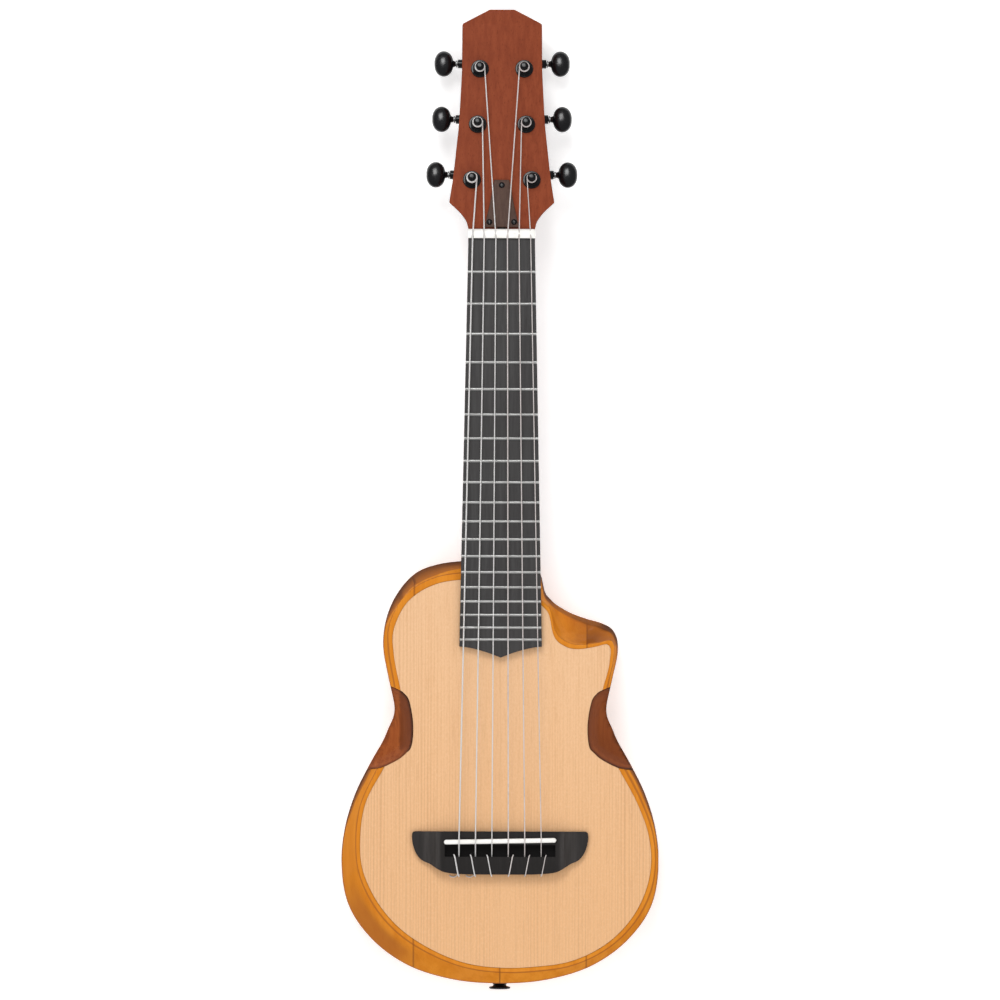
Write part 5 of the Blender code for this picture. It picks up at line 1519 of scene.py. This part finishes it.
@dataclass(frozen=True)
class GuitarString:
    """One string from its post over nut and saddle to the tie block; string 6 is the lowest."""

    number: int
    hand: Hand
    radius: float
    post_spread: float
    post_along: float
    over_frets: float = 0.0006
    turns: int = 2
    turn_steps: int = 40
    turn_gap: float = 0.00048
    turn_in: float = math.radians(17)
    post_radius: float = 0.0026
    bend: float = 0.0006
    loop_shift: float = 0.0036

    def offset(self, pitch: float) -> float:
        """Distance from the centreline where neighbours lie one pitch apart."""
        return (3.5 - self.number) * pitch

    def nut_point(self) -> Vector:
        """Where the string leaves the nut's front edge."""
        height = PLACES.fret_top + self.over_frets + self.radius
        return PLACES.at(self.offset(StringSet.nut_pitch), 0, height)

    def saddle_away(self) -> float:
        """Distance of the saddle's middle from the nut under this string."""
        return PLACES.scale + PLACES.gap - self.offset(StringSet.saddle_pitch) * math.tan(Bridge.saddle_slant)

    @property
    def wrap_radius(self) -> float:
        """Distance of the string's middle from the post's axis."""
        return self.post_radius + PLACES.gap + self.radius

    @property
    def arrival_height(self) -> float:
        """Height at which the string reaches the post."""
        return TunerSet.nut_height + PLACES.gap + 2 * TunerSet.ledge + self.radius

    @property
    def pitch(self) -> float:
        """Rise of one turn on the post."""
        return 2 * self.radius + self.turn_gap

    @property
    def arrival_angle(self) -> float:
        """Bearing around the post at which the string touches it.

        Returns:
            The bearing in the headstock's plane.
        """
        start = PLACES.head_plane.inverted() @ self.nut_point()
        line = Vector((start.x - self.hand.value * self.post_spread, start.y - self.post_along))
        return math.atan2(line.y, line.x) - self.hand.value * math.acos(self.wrap_radius / line.length)

    def on_post(self, angle: float, height: float, radius: float | None = None) -> Vector:
        """Point around the post, in the frame.

        Args:
            angle: Bearing around the post.
            height: Height over the headstock.
            radius: Distance from the post's axis, if it isn't the string's own.

        Returns:
            The point.
        """
        reach = self.wrap_radius if radius is None else radius
        return PLACES.head_plane @ Vector((self.hand.value * self.post_spread + reach * math.cos(angle),
                                           self.post_along + reach * math.sin(angle), height))

    def wrap(self) -> list[Vector]:
        """The string's first quarter turn on the post.

        Returns:
            Points of the string.
        """
        start = self.arrival_angle
        return [self.on_post(start - self.hand.value * math.radians(6 * i), self.arrival_height)
                for i in range(16)]

    def tie(self) -> list[Vector]:
        """From the saddle through the tie block and back over it.

        Returns:
            Points of the string.
        """
        r, side, bend = self.radius, self.hand.value, self.bend
        x = self.offset(StringSet.saddle_pitch)
        base = PLACES.top + PLACES.gap
        hole, over = base + Bridge.hole_height, base + Bridge.height + PLACES.gap + r
        trough = PLACES.scale + Bridge.trough[1]
        behind = PLACES.scale + Bridge.back + PLACES.gap + r + bend
        before = trough - PLACES.gap - r - bend
        loop, crown, rest = x + side * self.loop_shift, self.saddle_away(), Bridge.saddle_thickness / 2
        height = PLACES.saddle_top + PLACES.gap * 0.9 + r
        corners = [PLACES.at(x, rest - crown, height), PLACES.at(x, -crown - rest - r * 0.7, height),
                   PLACES.at(x, -trough + bend / 3, hole), PLACES.at(x, -behind, hole),
                   PLACES.at(x, -behind, over - bend / 2), PLACES.at(x + side * bend, -behind + 2 * bend, over),
                   PLACES.at(loop - side * bend, -before - 2 * bend, over), PLACES.at(loop, -before, over - bend),
                   PLACES.at(loop, -before, over - 4 * bend)]
        return rounded(corners, (0.0008, 0.0012, 0.0012, 0.0012, 0.0012, 0.0012, 0.0012), 5)

    def free_length(self) -> Shape:
        """The string from its post to its loop on the tie block.

        Returns:
            The wire.
        """
        edge = Vector((0, 0.0007, 0))
        points = list(reversed(self.wrap())) + [self.nut_point() + edge, self.nut_point() - edge] + self.tie()
        return tube(f"string_{self.number}_wire", points, self.radius, 12)

    def tail(self) -> Shape:
        """Loose end that comes out of the tie block's hole and curls on the soundboard.

        Returns:
            The wire.
        """
        x, behind = self.offset(StringSet.saddle_pitch), PLACES.scale + Bridge.back
        floor = PLACES.top + PLACES.gap + self.radius
        spots = ((-0.0011, 0.0004, 0.0030), (-0.0020, 0.0012, 0.0012), (-0.0036, 0.0019, 0), (-0.0056, 0.0016, 0),
                 (-0.0068, 0.0008, 0.0002))
        line = smooth_curve([PLACES.at(x + side, -behind - back, floor + up) for side, back, up in spots], 5)
        return tube(f"string_{self.number}_tail", line, self.radius * 0.8, 10)

    def winding(self) -> Shape:
        """The turns on the post, whose end goes into the post's hole.

        Returns:
            The wire.
        """
        low = self.arrival_height + self.pitch
        start, steps = self.arrival_angle, self.turns * self.turn_steps
        last = start - self.hand.value * math.tau * self.turns
        points = [self.on_post(start + (last - start) * i / steps, low + self.pitch * self.turns * i / steps)
                  for i in range(steps + 1)]
        points.insert(0, points[0] + (points[0] - points[1]).normalized() * 2 * self.radius)
        inward = last - self.hand.value * self.turn_in
        high = low + self.pitch * self.turns
        points += [self.on_post(inward, high, self.wrap_radius - reach)
                   for reach in (0.00015, 0.001, 0.001 + 2 * self.radius)]
        return tube(f"winding_{self.number}_wire", points, self.radius, 12)


class StringSet:
    """The six strings."""

    radii: tuple[float, ...] = (0.00055, 0.00048, 0.00042, 0.00045, 0.00040, 0.00035)
    nut_pitch: float = 0.00828
    saddle_pitch: float = 0.01172
    with_tail: tuple[int, ...] = (6, 5)

    @classmethod
    def all(cls) -> list[GuitarString]:
        """Strings from the lowest to the highest.

        Returns:
            The six strings.
        """
        strings = []
        for number in range(6, 0, -1):
            hand = Hand.BASS if number > 3 else Hand.TREBLE
            row = min(6 - number, number - 1)
            strings.append(GuitarString(number, hand, cls.radii[6 - number], TunerSet.spreads[row],
                                        TunerSet.first + TunerSet.pitch * row))
        return strings

    @classmethod
    def build(cls) -> None:
        """Models the strings and dresses them."""
        for string in cls.all():
            finish = WOUND_SILVER if string.hand is Hand.BASS else CLEAR_NYLON
            number = string.number
            deliver(string.free_length(), finish, [f"string_{number}"], angle=60)
            deliver(string.winding(), finish, [f"winding_{number}"], f"post_{number}", 60)
            if number in cls.with_tail:
                deliver(string.tail(), finish, angle=60)


# Tuning machines

@dataclass
class TunerSet:
    """Six tuning machines, each modelled around its post's axis with x toward the button."""

    first: float = 0.0355
    pitch: float = 0.04065
    spreads: tuple[float, ...] = (0.0213, 0.0173, 0.0158)
    washer_hole: float = 0.003
    washer_radius: float = 0.0064
    washer_thickness: float = 0.0010
    nut_radius: float = 0.0052
    nut_height: float = 0.0032
    sleeve_radius: float = 0.0044
    sleeve_length: float = 0.0110
    shaft_radius: float = 0.0029
    ledge: float = 0.0004
    post_height: float = 0.0116
    hole_radius: float = 0.00085
    gear_teeth: int = 14
    gear_radius: float = 0.0052
    gear_thickness: float = 0.0032
    tooth: float = 0.0008
    worm_radius: float = 0.0025
    worm_root: float = 0.0018
    worm_length: float = 0.0096
    worm_turns: int = 4
    worm_taper: float = 0.0006
    worm_depth: float = 0.0052
    housing_wall: float = 0.0016
    housing_depth: float = 0.0094
    snout_radius: float = 0.0032
    button_reach: float = 0.02585
    button_size: tuple[float, float, float] = (0.0136, 0.0186, 0.0090)
    button_swell: float = 0.86
    button_start: float = 0.0034
    neck_length: float = 0.0032
    neck_profile: Plan = ((0.0016, 0.0015), (0.0018, 0.0020), (0.0032, 0.0024))
    collar_profile: Plan = ((0.0025, 0), (0.0027, 0.0002), (0.0027, 0.0007), (0.0022, 0.0008), (0.0022, 0.0012))
    button_shaft: float = 0.0015
    tab_radius: float = 0.0028
    tab_thickness: float = 0.0016
    screw_radius: float = 0.0018
    screw_height: float = 0.0011

    @classmethod
    def spots(cls) -> dict[int, tuple[float, float]]:
        """Post centres in the headstock's plane, by string number.

        Returns:
            (x, distance from the headstock's foot) by string number.
        """
        rows = {number: min(6 - number, number - 1) for number in range(1, 7)}
        return {number: ((-1 if number > 3 else 1) * cls.spreads[row], cls.first + cls.pitch * row)
                for number, row in rows.items()}

    @property
    def worm_offset(self) -> float:
        """Distance of the worm's axis from the post's axis."""
        return self.gear_radius + self.worm_radius + PLACES.gap

    @property
    def snout_end(self) -> float:
        """Distance from the post's axis to the end of the housing's snout."""
        return self.button_reach - self.button_size[0] / 2 - self.neck_length

    def bushing(self) -> Shape:
        """Washer and chamfered hexagon nut round the post, with the sleeve through the headstock.

        Returns:
            The bushing.
        """
        gap, rim, inside = PLACES.gap, self.washer_thickness + PLACES.gap, self.washer_hole
        washer = rounded([Vector((inside, gap)), Vector((self.washer_radius, gap)),
                          Vector((self.washer_radius, rim)), Vector((inside, rim))], (0.0003, 0.0005), 5)
        shape = lathe("bushing_form", washer, 64)
        bpy.ops.mesh.primitive_cylinder_add(vertices=6, radius=self.nut_radius, depth=self.nut_height - gap,
                                            location=(0, 0, (self.nut_height + gap) / 2))
        nut = named("hexagon")
        core, wide, high = 0.001, self.nut_radius + 0.0001, self.nut_height + 0.0001
        chamfer = [(core, 0), (wide, 0), (wide, self.nut_height - 0.0009), (self.nut_radius - 0.0013, high),
                   (core, high)]
        combine(nut, lathe("chamfer", chamfer, 64), "INTERSECT")
        combine(shape, nut, "UNION")
        combine(shape, rod("sleeve", (0, 0, -self.sleeve_length), (0, 0, rim), self.sleeve_radius, 48), "UNION")
        axis, clear, low, mouth = 0.0001, self.shaft_radius + gap, -0.02, self.nut_height + 0.0002
        bore = [(axis, low), (clear, low), (clear, self.nut_height - 0.0004), (clear + 0.0005, mouth), (axis, mouth)]
        combine(shape, lathe("bore", bore, 48))
        return soften(shape, 0.00012, 2, 25)

    def post(self, string: GuitarString) -> Shape:
        """String post with a waist for the turns, a domed head, its hole and its gear.

        Args:
            string: The string that it holds.

        Returns:
            The post, in its place.
        """
        middle = -PLACES.head_thickness - self.worm_depth
        foot = self.nut_height + PLACES.gap
        end_height = string.arrival_height + string.pitch * (string.turns + 1)
        waist = end_height + self.hole_radius + PLACES.gap
        shaft, ledge = self.shaft_radius, self.ledge
        rim = max(self.post_height - 0.001, waist + ledge)
        narrow, wide, dome = string.post_radius, string.post_radius + ledge, rim + 0.00095
        profile = [Vector(p) for p in (
            (shaft, middle), (shaft, foot), (shaft + ledge, foot), (shaft + ledge, foot + ledge),
            (narrow, foot + 2 * ledge), (narrow, waist - 0.0002), (wide, rim), (wide * 0.93, rim + 0.0006),
            (wide * 0.45, dome), (0.0002, dome))]
        line = rounded(profile, (0, 0, 0.00015, 0.0003, 0.0004, 0.0003, 0.0004, 0.0008), 5)
        shape = lathe(f"tuner_post_{string.number}_metal", line, 48)
        inward = string.arrival_angle - string.hand.value * (math.tau * string.turns + string.turn_in)
        across = Vector((math.cos(inward), math.sin(inward), 0)) * PLACES.cut
        centre = Vector((0, 0, end_height))
        combine(shape, rod("hole", centre - across, centre + across, self.hole_radius, 20))
        teeth = []
        for tooth in range(self.gear_teeth):
            for share, radius in ((0.0, 0), (0.22, 0), (0.36, self.tooth), (0.86, self.tooth)):
                angle = math.tau * (tooth + share) / self.gear_teeth
                teeth.append((self.gear_radius - radius, angle))
        rings = [[Vector((r * math.cos(a), r * math.sin(a), middle + z)) for r, a in teeth]
                 for z in (-self.gear_thickness / 2, self.gear_thickness / 2)]
        combine(shape, loft("gear", rings), "UNION")
        x, along = self.spots()[string.number]
        return moved(shape, PLACES.head_plane @ Matrix.Translation((x, along, 0)))

    def button(self) -> Shape:
        """Worm, shaft, conical neck and oval button, along x from the worm's middle.

        Returns:
            The button.
        """
        sides, half = 32, self.worm_length / 2
        angles = [math.tau * i / sides for i in range(sides)]
        loops = [(-half - self.worm_taper, [self.button_shaft] * sides)]
        steps = self.worm_turns * 14
        for i in range(steps + 1):
            crests = [(1 + math.cos(a - math.tau * self.worm_turns * i / steps)) / 2 for a in angles]
            loops.append((self.worm_length * i / steps - half,
                          [self.worm_root + (self.worm_radius - self.worm_root) * c for c in crests]))
        neck = [(self.snout_end + x, radius) for x, radius in self.neck_profile]
        for x, radius in [(half + self.worm_taper, self.button_shaft), *neck]:
            loops.append((x, [radius] * sides))
        rings = [[Vector((x, r * math.cos(a), r * math.sin(a))) for r, a in zip(radii, angles)]
                 for x, radii in loops]
        length, height, thickness = self.button_size
        rows = 24
        for i in range(1, rows):
            turn = math.pi * i / rows
            x = self.button_reach - length / 2 * math.cos(turn)
            if x < self.snout_end + self.button_start:
                continue
            swell = math.sin(turn) ** self.button_swell / 2
            rings.append([Vector((x, height * swell * math.cos(a),
                                  thickness * swell * math.copysign(abs(math.sin(a)) ** 0.9, math.sin(a))))
                          for a in angles])
        return loft("button_form", rings)

    def collar(self) -> Shape:
        """Stepped silver ring on the shaft, between snout and button.

        Returns:
            The collar.
        """
        start = self.snout_end + PLACES.gap
        inner = self.button_shaft + 0.00003
        profile = [(inner, 0), *self.collar_profile, (inner, 0.0013)]
        ring = lathe("collar_form", profile, 40, closed=True)
        return moved(ring, Matrix.Translation((start, 0, 0)) @ Matrix.Rotation(math.pi / 2, 4, "Y"))

    def housing(self) -> Shape:
        """Housing behind the headstock, with its snout and tab and the room for gear and worm.

        Returns:
            The housing.
        """
        gap = PLACES.gap
        top, bottom = -PLACES.head_thickness - gap, -PLACES.head_thickness - self.housing_depth
        axis = -PLACES.head_thickness - self.worm_depth
        inner = self.gear_radius + gap
        half = inner + self.housing_wall
        room = self.worm_radius + gap
        far = self.worm_offset + room + self.housing_wall
        shape = soften(block("housing_form", (-half, -half, bottom), (half, far, top)), 0.0018, 5)
        snout = rod("snout", (half / 2, self.worm_offset, axis), (self.snout_end, self.worm_offset, axis),
                    self.snout_radius, 40)
        combine(shape, soften(snout, 0.0005, 3), "UNION")
        tab = -half - self.tab_radius / 2
        combine(shape, rod("tab", (0, tab, top), (0, tab, top - self.tab_thickness), self.tab_radius, 40), "UNION")
        floor = axis - self.gear_thickness / 2 - gap
        combine(shape, rod("gear_room", (0, 0, top + PLACES.cut), (0, 0, floor), inner, 48))
        long = self.worm_length / 2 + self.worm_taper + gap
        combine(shape, block("worm_room", (-long, self.worm_offset - room, axis - room),
                             (long, self.worm_offset + room, top + PLACES.cut)))
        combine(shape, rod("bore", (0, self.worm_offset, axis), (self.snout_end + PLACES.cut, self.worm_offset, axis),
                           self.button_shaft + gap, 24))
        return shape

    def screw(self) -> Shape:
        """Cross-head screw that holds the tab from behind.

        Returns:
            The screw.
        """
        inner = self.gear_radius + PLACES.gap
        tab = -inner - self.housing_wall - self.tab_radius / 2
        head = screw_form("tab_screw_form", self.screw_radius, self.screw_height)
        seat = -PLACES.head_thickness - PLACES.gap - self.tab_thickness
        return moved(head, Matrix.Translation((0, tab, seat)) @ Matrix.Rotation(math.pi, 4, "X"))

    def build(self) -> None:
        """Models each kind of piece once, copies it to the six places and dresses it."""
        kinds = {
            "bushing": (self.bushing(), BLACK_CHROME, "black_metal"),
            "housing": (self.housing(), BLACK_CHROME, "black_metal"),
            "screw": (self.screw(), BLACK_CHROME, "black_metal"),
            "button": (self.button(), BLACK_GLOSS, "black_plastic"),
            "collar": (self.collar(), SILVER_RING, "steel"),
        }
        for string in StringSet.all():
            number = string.number
            x, along = self.spots()[number]
            mirror = Matrix.Diagonal((string.hand.value, 1, 1, 1))
            place = PLACES.head_plane @ Matrix.Translation((x, along, 0)) @ mirror
            shaft = place @ Matrix.Translation((0, self.worm_offset, -PLACES.head_thickness - self.worm_depth))
            for kind, (form, finish, slot) in kinds.items():
                turning = kind in ("button", "collar")
                piece = copied(form, f"tuner_{kind}_{number}_{finish.name.split('_')[0]}", shaft if turning else place)
                nodes = [] if kind in ("screw", "collar") else [f"tuner_{kind}_{number}"]
                deliver(piece, finish, nodes, f"button_{number}" if turning else "root")
            deliver(self.post(string), BLACK_CHROME, [f"tuner_post_{number}"], f"post_{number}")
        for form, _finish, _slot in kinds.values():
            bpy.data.objects.remove(form)


def screw_form(name: str, radius: float, height: float) -> Shape:
    """Low domed screw head with a cross recess, standing on the plane z = 0.

    Args:
        name: Name of the shape.
        radius: Its radius.
        height: Its height.

    Returns:
        The screw head.
    """
    profile = rounded([Vector((0.0002, 0)), Vector((radius, 0)), Vector((radius, height * 0.45)),
                       Vector((radius * 0.45, height)), Vector((0.0002, height))],
                      (0.0001, radius * 0.3, radius * 0.3), 5)
    head = lathe(name, profile, 40)
    wide, long = radius * 0.13, radius * 0.62
    for x, y in ((long, wide), (wide, long)):
        combine(head, block("recess", (-x, -y, height * 0.35), (x, y, height * 2)))
    return head


# Truss-rod cover and strap button

@dataclass
class RodCover:
    """Cover over the truss rod's pocket, with its three screws."""

    outline: Plan = ((0.0126, 0.0006), (0.0087, 0.0169), (0.0054, 0.0353))
    thickness: float = 0.0016
    screw_radius: float = 0.0010
    screw_length: float = 0.0078
    head_radius: float = 0.0021
    head_height: float = 0.0010

    @staticmethod
    def screws() -> dict[str, tuple[float, float]]:
        """Screw places in the headstock's plane."""
        return {"top": (0.0, 0.0313), "bass": (-0.0088, 0.0043), "treble": (0.0088, 0.0043)}

    def build(self) -> None:
        """Models the cover and its screws and dresses them."""
        low, high = PLACES.gap, PLACES.gap + self.thickness
        ring = list(self.outline) + [(-x, y) for x, y in reversed(self.outline)]
        cover = loft("truss_rod_cover_wood", [[Vector((x, y, z)) for x, y in ring] for z in (low, high)])
        soften(cover, 0.0006, 3, 35)
        for x, y in self.screws().values():
            combine(cover, rod("hole", (x, y, -PLACES.cut), (x, y, PLACES.cut), self.screw_radius + PLACES.gap, 20))
        deliver(moved(cover, PLACES.head_plane), COVER_WOOD, ["truss_rod_cover"])
        for name, (x, y) in self.screws().items():
            screw = screw_form(f"cover_screw_{name}_metal", self.head_radius, self.head_height)
            shank = rod("shank", (0, 0, -self.screw_length), (0, 0, 0.0002), self.screw_radius, 20)
            combine(screw, shank, "UNION")
            place = PLACES.head_plane @ Matrix.Translation((x, y, high + PLACES.gap))
            deliver(moved(screw, place), BLACK_CHROME, [f"cover_screw_{name}"])
        for node in ("truss_rod", "truss_rod_nut"):
            dress_node(node, ROD_STEEL)


@dataclass
class StrapButton:
    """Turned strap button on the tail and the screw through it."""

    height: float = 0.0300
    tail: float = 0.5320
    reach: float = 0.0046
    head_radius: float = 0.0077
    neck_radius: float = 0.0044
    base_radius: float = 0.0052
    bore: float = 0.0018
    screw_head: float = 0.0027
    screw_head_height: float = 0.0014
    screw_radius: float = 0.0015
    screw_length: float = 0.011

    def build(self) -> None:
        """Models both pieces and dresses them."""
        gap, reach, head = PLACES.gap, self.reach, self.head_radius
        corners = [Vector(p) for p in (
            (self.bore, gap), (self.base_radius, gap), (self.neck_radius, reach - 0.0026), (head, reach - 0.0018),
            (head, reach - 0.0008), (head - 0.0014, reach), (self.screw_head + gap, reach),
            (self.screw_head + gap, reach / 2), (self.bore, reach / 2))]
        line = rounded(corners, (0.0004, 0.0012, 0.0005, 0.0005, 0.0008, 0.0003, 0), 5)
        place = Matrix.Translation(PLACES.at(0, -self.tail, self.height)) @ Matrix.Rotation(math.pi / 2, 4, "X")
        button = moved(lathe("strap_button_metal", line, 64, closed=True), place)
        deliver(button, BLACK_CHROME, ["end_pin"])
        screw = screw_form("strap_button_screw_metal", self.screw_head, self.screw_head_height)
        moved(screw, Matrix.Translation((0, 0, reach / 2 + gap)))
        shank = rod("shank", (0, 0, -self.screw_length), (0, 0, reach / 2 + 2 * gap), self.screw_radius, 24)
        combine(screw, shank, "UNION")
        deliver(moved(screw, place), BLACK_CHROME, ["end_pin_screw"])


# Studio

@dataclass
class Studio:
    """Pale floor, soft lights and the camera of the photograph."""

    field: float = 0.7136
    distance: float = 20.0
    aim: tuple[float, float] = (-0.0007, -0.0004)
    roll: float = math.radians(0.15)
    sensor: float = 36
    floor_radius: float = 6.0
    air_strength: float = 0.25

    def floor(self) -> None:
        """Large pale disc under the instrument."""
        bpy.ops.mesh.primitive_circle_add(vertices=96, radius=self.floor_radius, fill_type="NGON",
                                          location=(0, 0, -0.0005))
        floor = named("studio_floor")
        floor.data.materials.append(material_of(LIGHT_TABLE))

    def light(self, name: str, place: Sequence[float], size: float, power: float, mirrored: bool = True) -> None:
        """Soft square light that looks at the instrument.

        Args:
            name: Name of the light.
            place: Where it stands.
            size: Side of its square.
            power: Power in watts.
            mirrored: Whether glossy pieces mirror it.
        """
        data = bpy.data.lights.new(name, "AREA")
        data.size, data.energy = size, power
        lamp = bpy.data.objects.new(name, data)
        lamp.location = place
        lamp.rotation_euler = (-Vector(place)).to_track_quat("-Z", "Y").to_euler()
        lamp.visible_glossy = mirrored
        bpy.context.scene.collection.objects.link(lamp)

    def camera(self) -> None:
        """Camera straight above, as in the photograph."""
        data = bpy.data.cameras.new("photo_camera")
        data.sensor_width = self.sensor
        data.lens = data.sensor_width * self.distance / self.field
        data.clip_end = 100
        camera = bpy.data.objects.new("photo_camera", data)
        camera.location = (*self.aim, PLACES.top + self.distance)
        camera.rotation_euler = (0, 0, self.roll)
        bpy.context.scene.collection.objects.link(camera)
        bpy.context.scene.camera = camera

    def build(self) -> None:
        """Sets up floor, lights, background and camera."""
        self.floor()
        self.light("head_softbox", (-0.4, 2.0, 2.7), 1.3, 42)
        self.light("tail_softbox", (0.1, -1.7, 2.9), 4.0, 56, mirrored=False)
        self.light("bass_softbox", (-1.3, 0.1, 2.8), 2.6, 20, mirrored=False)
        self.light("treble_softbox", (1.3, 0.0, 2.8), 2.6, 18, mirrored=False)
        world = bpy.data.worlds.new("studio_air")
        world.use_nodes = True
        air = world.node_tree.nodes["Background"]
        air.inputs[0].default_value = (1, 1, 1, 1)
        air.inputs[1].default_value = self.air_strength
        bpy.context.scene.world = world
        bpy.context.scene.view_settings.view_transform = "Standard"
        self.camera()


def main() -> None:
    """Builds the instrument and its studio."""
    logging.basicConfig(level=logging.INFO, format="%(name)s: %(message)s")
    builders: list[tuple[str, Callable[[], None]]] = [
        ("body", Body().build), ("neck", Neck().build), ("bridge", Bridge().build), ("strings", StringSet.build),
        ("tuning machines", TunerSet().build), ("rod cover", RodCover().build), ("strap button", StrapButton().build),
        ("studio", Studio().build)]
    for name, build in builders:
        build()
        LOG.info("%s done", name)


if __name__ == "__main__":
    main()
